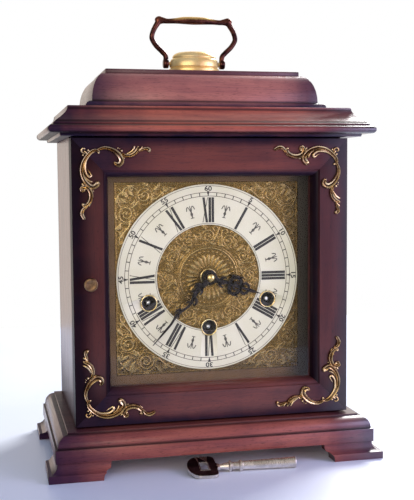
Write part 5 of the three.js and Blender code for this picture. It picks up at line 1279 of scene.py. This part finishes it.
def blackened(name):
    """Blackened steel with a soft gloss. The eye gets a blue-brown cloud."""
    material, tree = new_material(name)
    cloud = streaks(tree, 4, 3.0, 6.2)
    fine = streaks(tree, 0.6, 2.0, 0.4)
    colour = layer(tree, "#17151a", "#2f2a30", cloud, 0.35, 0.7)
    gloss = add(tree, "MapRange", (fine, 0.3, 0.7, 0.24, 0.4), **EASED)
    return finish(material, {"Base Color": colour, "Roughness": gloss, "Metallic": 0.7}, fine, 0.3, 0.03)


black_steel = blackened("steel_hands_blackened")


def hand_part(outline, y0, y1, turn):
    """A pressed plate with an eased front edge, from an outline (across, out) that is turned clockwise."""
    bevel = 0.22
    flat = np.array(at_hour(outline, turn))
    forward = np.roll(flat, -1, axis=0) - np.roll(flat, 1, axis=0)
    forward /= np.maximum(np.linalg.norm(forward, axis=1, keepdims=True), 1e-9)
    area = np.sum(flat[:, 0] * np.roll(flat[:, 1], -1) - np.roll(flat[:, 0], -1) * flat[:, 1])
    inward = np.stack([-forward[:, 1], forward[:, 0]], 1) * np.sign(area)
    rings = [(flat, y1), (flat, y0 + bevel), (flat + inward * bevel * 0.4, y0 + bevel * 0.4),
             (flat + inward * bevel, y0)]
    return prism([[(x, y, DIAL_Z + z) for x, z in points] for points, y in rings])


def hand(name, node, body, boss, y0, y1, turn, strokes):
    """One hand: its boss of (radius, bore) and its strokes of (points, half widths) in one plate."""
    radius, bore = boss
    profile = [(bore, y1), (bore, y0), (radius - 0.4, y0), (radius, y0 + 0.3), (radius, y1)]
    parts = [sleeve(profile, 0, 0, 40)]
    parts += [hand_part(ribbon(points, halves), y0, y1, turn) for points, halves in strokes]
    solid(name, *gather(parts), [black_steel], body, "blackened_steel", [node], 30)


hour_strokes = [
    ([(0, 5.0), (0.3, 7.5), (0.6, 9.6), (0.3, 12.0), (-0.3, 14.6), (-0.2, 16.8), (0, 18.6)],
     [2.7, 2.2, 2.3, 2.0, 1.3, 1.2, 1.7]),
    ([(0.8, 8.6), (3.0, 9.6), (4.3, 11.8), (3.7, 14.0)], [1.2, 1.1, 0.8, 0.2]),
    ([(-0.2, 9.0), (-2.6, 10.2), (-3.6, 12.4), (-3.1, 14.2)], [1.1, 1.0, 0.7, 0.2]),
    ([(0, 18.2), (0.3, 20.6), (-0.2, 24.0), (0, 27.6)], [1.5, 1.2, 1.8, 1.4]),
    ([(0, 27.4), (0, 31.0), (0, 36.0), (0, 40.0), (0, 45.0)], [1.2, 0.9, 1.5, 0.8, 0.2]),
]
for points, halves in (
    ([(0, 17.8), (3.4, 18.0), (6.0, 20.0), (6.9, 23.0), (5.2, 25.8), (2.6, 26.9), (0.4, 27.8)],
     [1.3, 1.3, 1.5, 1.6, 1.5, 1.3, 1.2]),
    ([(1.0, 21.6), (2.8, 22.0), (3.4, 23.8), (2.4, 24.6)], [0.9, 0.9, 0.7, 0.2]),
    ([(5.0, 19.2), (7.0, 18.4), (8.4, 19.4)], [1.0, 0.8, 0.2]),
    ([(6.0, 24.4), (7.8, 25.6), (8.0, 27.6)], [1.1, 0.8, 0.2]),
    ([(0, 27.0), (3.0, 28.4), (4.3, 30.8), (3.0, 33.2), (0.5, 34.6)], [1.2, 1.1, 1.2, 1.0, 0.8]),
):
    hour_strokes += [([(side * s, r) for s, r in points], halves) for side in (1, -1)]
hand("hand_hours_serpentine", "hour_hand", "hour_pipe", (6.1, 4.3), 17.2, 18.4, math.radians(108.5),
     hour_strokes)
hand("hand_minutes_serpentine", "minute_hand", "minute_arbor", (4.2, 1.6), 14.2, 15.4, math.radians(222.0), [
    ([(0, 3.0), (0.2, 6.0), (0.8, 9.0), (1.5, 12.0), (1.7, 15.0), (1.0, 18.0), (-0.2, 21.0),
      (-1.2, 24.6), (-1.3, 28.4), (-0.4, 32.4), (0.9, 36.2), (1.3, 39.8), (0.7, 44.0), (0, 49.0),
      (0, 56.0), (0, 71.0)],
     [2.6, 2.3, 2.2, 2.6, 2.3, 1.9, 1.7, 1.3, 1.0, 1.0, 1.3, 1.2, 0.95, 0.85, 0.8, 0.2]),
    ([(1.8, 9.4), (4.2, 10.2), (5.2, 12.6), (4.5, 14.8)], [1.2, 1.1, 0.8, 0.2]),
    ([(0.8, 10.6), (-1.6, 12.0), (-2.4, 14.6), (-1.8, 16.2)], [1.2, 1.0, 0.7, 0.2]),
    ([(1.8, 15.4), (3.8, 16.8), (4.0, 19.0)], [1.0, 0.8, 0.2]),
    ([(-0.2, 20.2), (-3.0, 20.8), (-4.6, 23.0), (-4.0, 25.2), (-2.8, 24.6)], [1.2, 1.1, 1.0, 0.7, 0.2]),
    ([(-1.0, 25.2), (1.4, 26.4), (1.9, 28.6)], [0.9, 0.7, 0.2]),
    ([(0.4, 34.6), (3.0, 35.8), (3.7, 38.4), (2.8, 40.0)], [1.0, 0.9, 0.6, 0.18]),
    ([(0.9, 38.6), (-1.0, 40.4), (-1.2, 42.4)], [0.8, 0.6, 0.2]),
])
nut_brass = metal("brass_nut_polished", "#b79a63", "#7a5c33", "#ead5a0", 0.22, 2.0)
nut_profile = [(0.05, 11.7), (0.9, 11.75), (1.8, 12.0), (2.6, 12.45), (3.1, 12.95), (3.3, 13.4), (3.3, 13.9),
               (1.6, 13.9), (1.6, 13.0), (0.05, 13.0)]
solid("nut_domed", *lathe(nut_profile, "y", (0, 0, DIAL_Z), 32), [nut_brass], "minute_arbor",
      "polished_brass", ["hand_nut"], 34)


# ------------------------------------------------------------------------------------------------ movement
# The going train and its two neighbours between lacquered brass plates, on the beech seat board: barrels,
# wheels and arbors keep their places and teeth from the frame, and the plates have their edges eased.
plate_brass = metal("brass_movement_lacquered", "#c4a25c", "#8c6a34", "#dcc080", 0.3, 14.0)
wheel_brass = metal("brass_wheels_lacquered", "#c9a760", "#8a6a36", "#e8cd90", 0.28, 6.0)
for node in ("movement_front_plate", "movement_back_plate", "balance_bridge"):
    finer(node, [plate_brass], 0.2, 1)
for node in ("going_barrel", "strike_barrel", "chime_barrel", "second_wheel", "centre_arbor", "minute_wheel",
             "hour_wheel", "balance_wheel"):
    carry(node, wheel_brass)
screws("pillar_screws", [(x, 90.6, DIAL_Z + z) for x in (-60, 60) for z in (42, -56)], "case", bright_steel,
       2.6, 2, True)


# --------------------------------------------------------------------------------------------- chime rods
# Four iron rods, blacked, in a cast block that is screwed to the case floor, and their steel hammers on
# one arbor behind the movement.
iron = metal("iron_block_blacked", "#4a4a4d", "#242426", "#6c6c70", 0.5, 5.0)
finer("chime_rods", [iron], 0.3)
finer("chime_hammers", [bright_steel], 0.25)


# ---------------------------------------------------------------------------------------------- back door
# A thin mahogany door, sawn out with sound slots and a finger notch. It swings on brass pins, one in a
# small plate at the bottom and one at the top.
back_wood = mahogany(
    "mahogany_back_upright", "z", "#2c1718", "#5f322e", "#7c463c",
    (0, CASE_DEPTH, 146.5), (99, 0, 113), (26, None, 26), 0.4,
)
finer("back_door", [back_wood], 0.3, angle=40)
for place in ("lower", "upper"):
    finer("back_pivot_" + place, [hinge_brass], 0.15)


# -------------------------------------------------------------------------------------------- winding key
# The key lies on the table under the front of the base: a flat dark bow with a window, a ringed shank and
# a long tapered barrel of nickel brass.
KEY_ROLL = Matrix.Rotation(math.radians(10.5), 3, "X")
KEY_TURN = Matrix.Rotation(math.radians(-3), 3, "Z")
KEY_MIDDLE = 43
KEY_REST = Vector((14.5, -25, 4.3))


def lay_key(verts):
    """Key places (along from the bow's end, across, up from its axis) as it lies on the table: rolled
    until the bow's front edge rests, and turned a little."""
    return [KEY_TURN @ KEY_ROLL @ Vector((x - KEY_MIDDLE, y, z)) + KEY_REST for x, y, z in verts]


def plate(outer, inner, low, high, bevel):
    """A flat plate with a window, its arrises eased: verts, faces."""
    work = bmesh.new()
    for outline in (outer, inner):
        corners = [work.verts.new((x, y, low)) for x, y in outline]
        for k, corner in enumerate(corners):
            work.edges.new((corner, corners[(k + 1) % len(corners)]))
    bmesh.ops.triangle_fill(work, use_beauty=True, edges=work.edges[:])
    raised = bmesh.ops.extrude_face_region(work, geom=work.faces[:])["geom"]
    lifted = [v for v in raised if isinstance(v, bmesh.types.BMVert)]
    bmesh.ops.translate(work, vec=(0, 0, high - low), verts=lifted)
    bmesh.ops.recalc_face_normals(work, faces=work.faces)
    sharp = [e for e in work.edges if len(e.link_faces) == 2 and e.calc_face_angle() > 1.2
             and abs(e.verts[0].co.z - e.verts[1].co.z) < 0.01]
    bmesh.ops.bevel(work, geom=sharp, offset=bevel, offset_type="OFFSET", segments=2, profile=0.5,
                    affect="EDGES", clamp_overlap=True)
    work.verts.index_update()
    parts = [tuple(v.co) for v in work.verts], [tuple(v.index for v in f.verts) for f in work.faces]
    work.free()
    return parts


key_nickel = metal("nickel_key_worn", "#cfc8be", "#b0a79d", "#f4efe8", 0.3, 14.0)
key_black = metal("steel_key_bow_black", "#2c2026", "#151014", "#4a3a44", 0.42, 6.0)
bow_outline = (
    arc(10.08, 0, 10.08, 15.5, 90, 270, 24) + arc(18, -11.5, 4.6, 4, 270, 360, 7)
    + [(23, -4.2), (23.6, -3.3), (25.5, -2.4), (25.5, 2.4), (23.6, 3.3), (23, 4.2)]
    + arc(18, 11.5, 4.6, 4, 0, 90, 7)
)
WINDOW_LEFT, WINDOW_RIGHT, WINDOW_HALF = 10.08, 16.48, 6
RIM_LEFT, RIM_RIGHT, RIM_HALF = 9.3, 17.3, 6.8


def oblong(left, right, half):
    return [(left, -half), (right, -half), (right, half), (left, half)]


bow = plate(bow_outline, oblong(WINDOW_LEFT, WINDOW_RIGHT, WINDOW_HALF), -1.25, 1.25, 0.32)
rim = plate(oblong(RIM_LEFT, RIM_RIGHT, RIM_HALF), oblong(10.1, 16.45, 5.95), -1.5, 1.5, 0.22)
shank_profile = [
    (0.1, 22.5), (1.25, 22.6), (1.7, 25.2), (2.7, 30.6), (3.0, 32.0), (3.0, 32.2), (3.7, 32.5), (4.2, 33.0),
    (4.25, 33.6), (4.2, 34.2), (3.7, 34.7), (2.95, 35.0), (2.9, 36.0), (2.95, 40.4), (3.7, 40.8), (4.2, 41.3),
    (4.25, 42.1), (4.2, 42.9), (3.6, 43.4), (3.3, 43.8), (3.4, 50), (4.2, 84.6), (4.25, 85.2), (4.1, 85.8),
    (3.75, 86.0),
]
turns = np.linspace(0, 2 * math.pi, 32, endpoint=False)
rings = [[(place, r * math.cos(t), r * math.sin(t)) for t in turns] for r, place in shank_profile]
for place in (86.0, 66.0):
    ring = []
    for t in turns:
        to_square = 2 / max(abs(math.cos(t)), abs(math.sin(t)))
        ring.append((place, math.cos(t) * to_square, math.sin(t) * to_square))
    rings.append(ring)
key_verts, key_faces = gather([bow, rim, skin(rings)])
key_up = KEY_TURN @ KEY_ROLL @ Vector((0, 0, 1))


def key_side(normal, middle):
    """The flats of the bow are black, its arrises, the window's rim and the rest worn bright."""
    along_key = middle.x / MM - KEY_REST.x + KEY_MIDDLE
    on_rim = RIM_LEFT - 0.1 < along_key < RIM_RIGHT + 0.1 and abs(middle.z / MM - KEY_REST.z) > 3.1
    return 1 if abs(normal.dot(key_up)) > 0.97 and along_key < 23.5 and not on_rim else 0


solid("key_bow_and_barrel", lay_key(key_verts), key_faces, [key_nickel, key_black], "key", "nickel",
      ["winding_key"], 34, key_side)


# ------------------------------------------------------------------------------------- table, light, camera
# A pale table top, a white room that is brightest behind, a broad soft window in front, a lavender one at
# the right, a skylight behind that throws the soft shadow forward, and the camera of the photograph.

def table_top():
    """Pale laminate, a faint cool cloud in it."""
    material, tree = new_material("table_pale_laminate")
    colour = layer(tree, "#eaf0fb", "#f0f4fc", streaks(tree, 120, 2.0, 0.2), 0.3, 0.7)
    return finish(material, {"Base Color": colour, "Roughness": 0.35})


floor_mesh = bpy.data.meshes.new("table")
floor_mesh.from_pydata([(-3, -0.5, 0), (3, -0.5, 0), (3, 0.68, 0), (-3, 0.68, 0)], [], [(0, 1, 2, 3)])
floor_mesh.materials.append(table_top())
floor = bpy.data.objects.new("table", floor_mesh)
bpy.context.scene.collection.objects.link(floor)

world = bpy.data.worlds.new("white_room")
bpy.context.scene.world = world
world.use_nodes = True
tree = world.node_tree
tree.nodes.clear()
rays = add(tree, "LightPath").outputs
direction = add(tree, "TexCoord").outputs["Generated"]
across, back, up = add(tree, "SeparateXYZ", (direction,)).outputs
mirrored = add(tree, "MapRange", (back, 0.0, 0.6, 0.1, 1.0), **EASED)
for span in ((up, 0.2, 0.9, 0.0, 0.42), (across, 0.5, 0.95, 0.0, 0.55)):
    mirrored = add(tree, "Math", (mirrored, add(tree, "MapRange", span, **EASED)), operation="MAXIMUM")
level = add(tree, "Math", (mirrored, rays["Is Glossy Ray"]), operation="MULTIPLY")
diffuse = add(tree, "Math", (rays["Is Diffuse Ray"], 0.5), operation="MULTIPLY")
for seen in (rays["Is Camera Ray"], rays["Is Transmission Ray"], diffuse):
    level = add(tree, "Math", (level, seen), operation="MAXIMUM")
tint = add(tree, "Mix", {0: rays["Is Glossy Ray"], 6: srgb("#ffffff"), 7: srgb("#fbf1e6")}, **COLOURS)
tint = add(tree, "Mix", {0: rays["Is Diffuse Ray"], 6: tint, 7: srgb("#b2ccfa")}, **COLOURS)
add(tree, "OutputWorld", {"Surface": add(tree, "Background", {"Color": tint, "Strength": level})})


def soft_light(name, place, aim, size, power, code="#ffffff"):
    """A rectangular light at place that looks at aim, and that the camera doesn't see."""
    data = bpy.data.lights.new(name, "AREA")
    data.shape = "RECTANGLE"
    data.size, data.size_y = size
    data.energy = power
    data.color = srgb(code)[:3]
    light = bpy.data.objects.new(name, data)
    light.location = place
    light.rotation_euler = (Vector(aim) - Vector(place)).to_track_quat("-Z", "Y").to_euler()
    light.visible_camera = False
    bpy.context.scene.collection.objects.link(light)


soft_light("window_front", (-0.6, -1.5, 0.62), (0, 0, 0.16), (1.2, 0.8), 9.6, "#ffeedb")
soft_light("window_front_right", (1.0, -1.5, 0.3), (0.1, 0, 0.15), (0.6, 1.1), 4.0, "#dccfff")
soft_light("window_right", (0.62, -0.42, 0.36), (0.08, 0, 0.14), (0.4, 0.5), 3.4, "#e0d6ff")
soft_light("skylight_back", (1.0, 1.0, 1.25), (0, 0, 0), (0.7, 0.7), 42)

camera_data = bpy.data.cameras.new("camera")
camera_data.lens = 67.96
camera_data.sensor_width = 36
camera_data.sensor_fit = "AUTO"
camera = bpy.data.objects.new("camera", camera_data)
pan, tilt, roll = -0.2301, -0.0762, 0.0074
turned = (Matrix.Rotation(pan, 4, "Z") @ Matrix.Rotation(tilt, 4, "X")
          @ Matrix.Rotation(roll, 4, "Y") @ Matrix.Rotation(math.pi / 2, 4, "X"))
camera.matrix_world = Matrix.Translation((-0.17426, -0.71774 + FRONT, 0.22674)) @ turned
bpy.context.scene.collection.objects.link(camera)
bpy.context.scene.camera = camera
bpy.context.scene.view_settings.view_transform = "Standard"
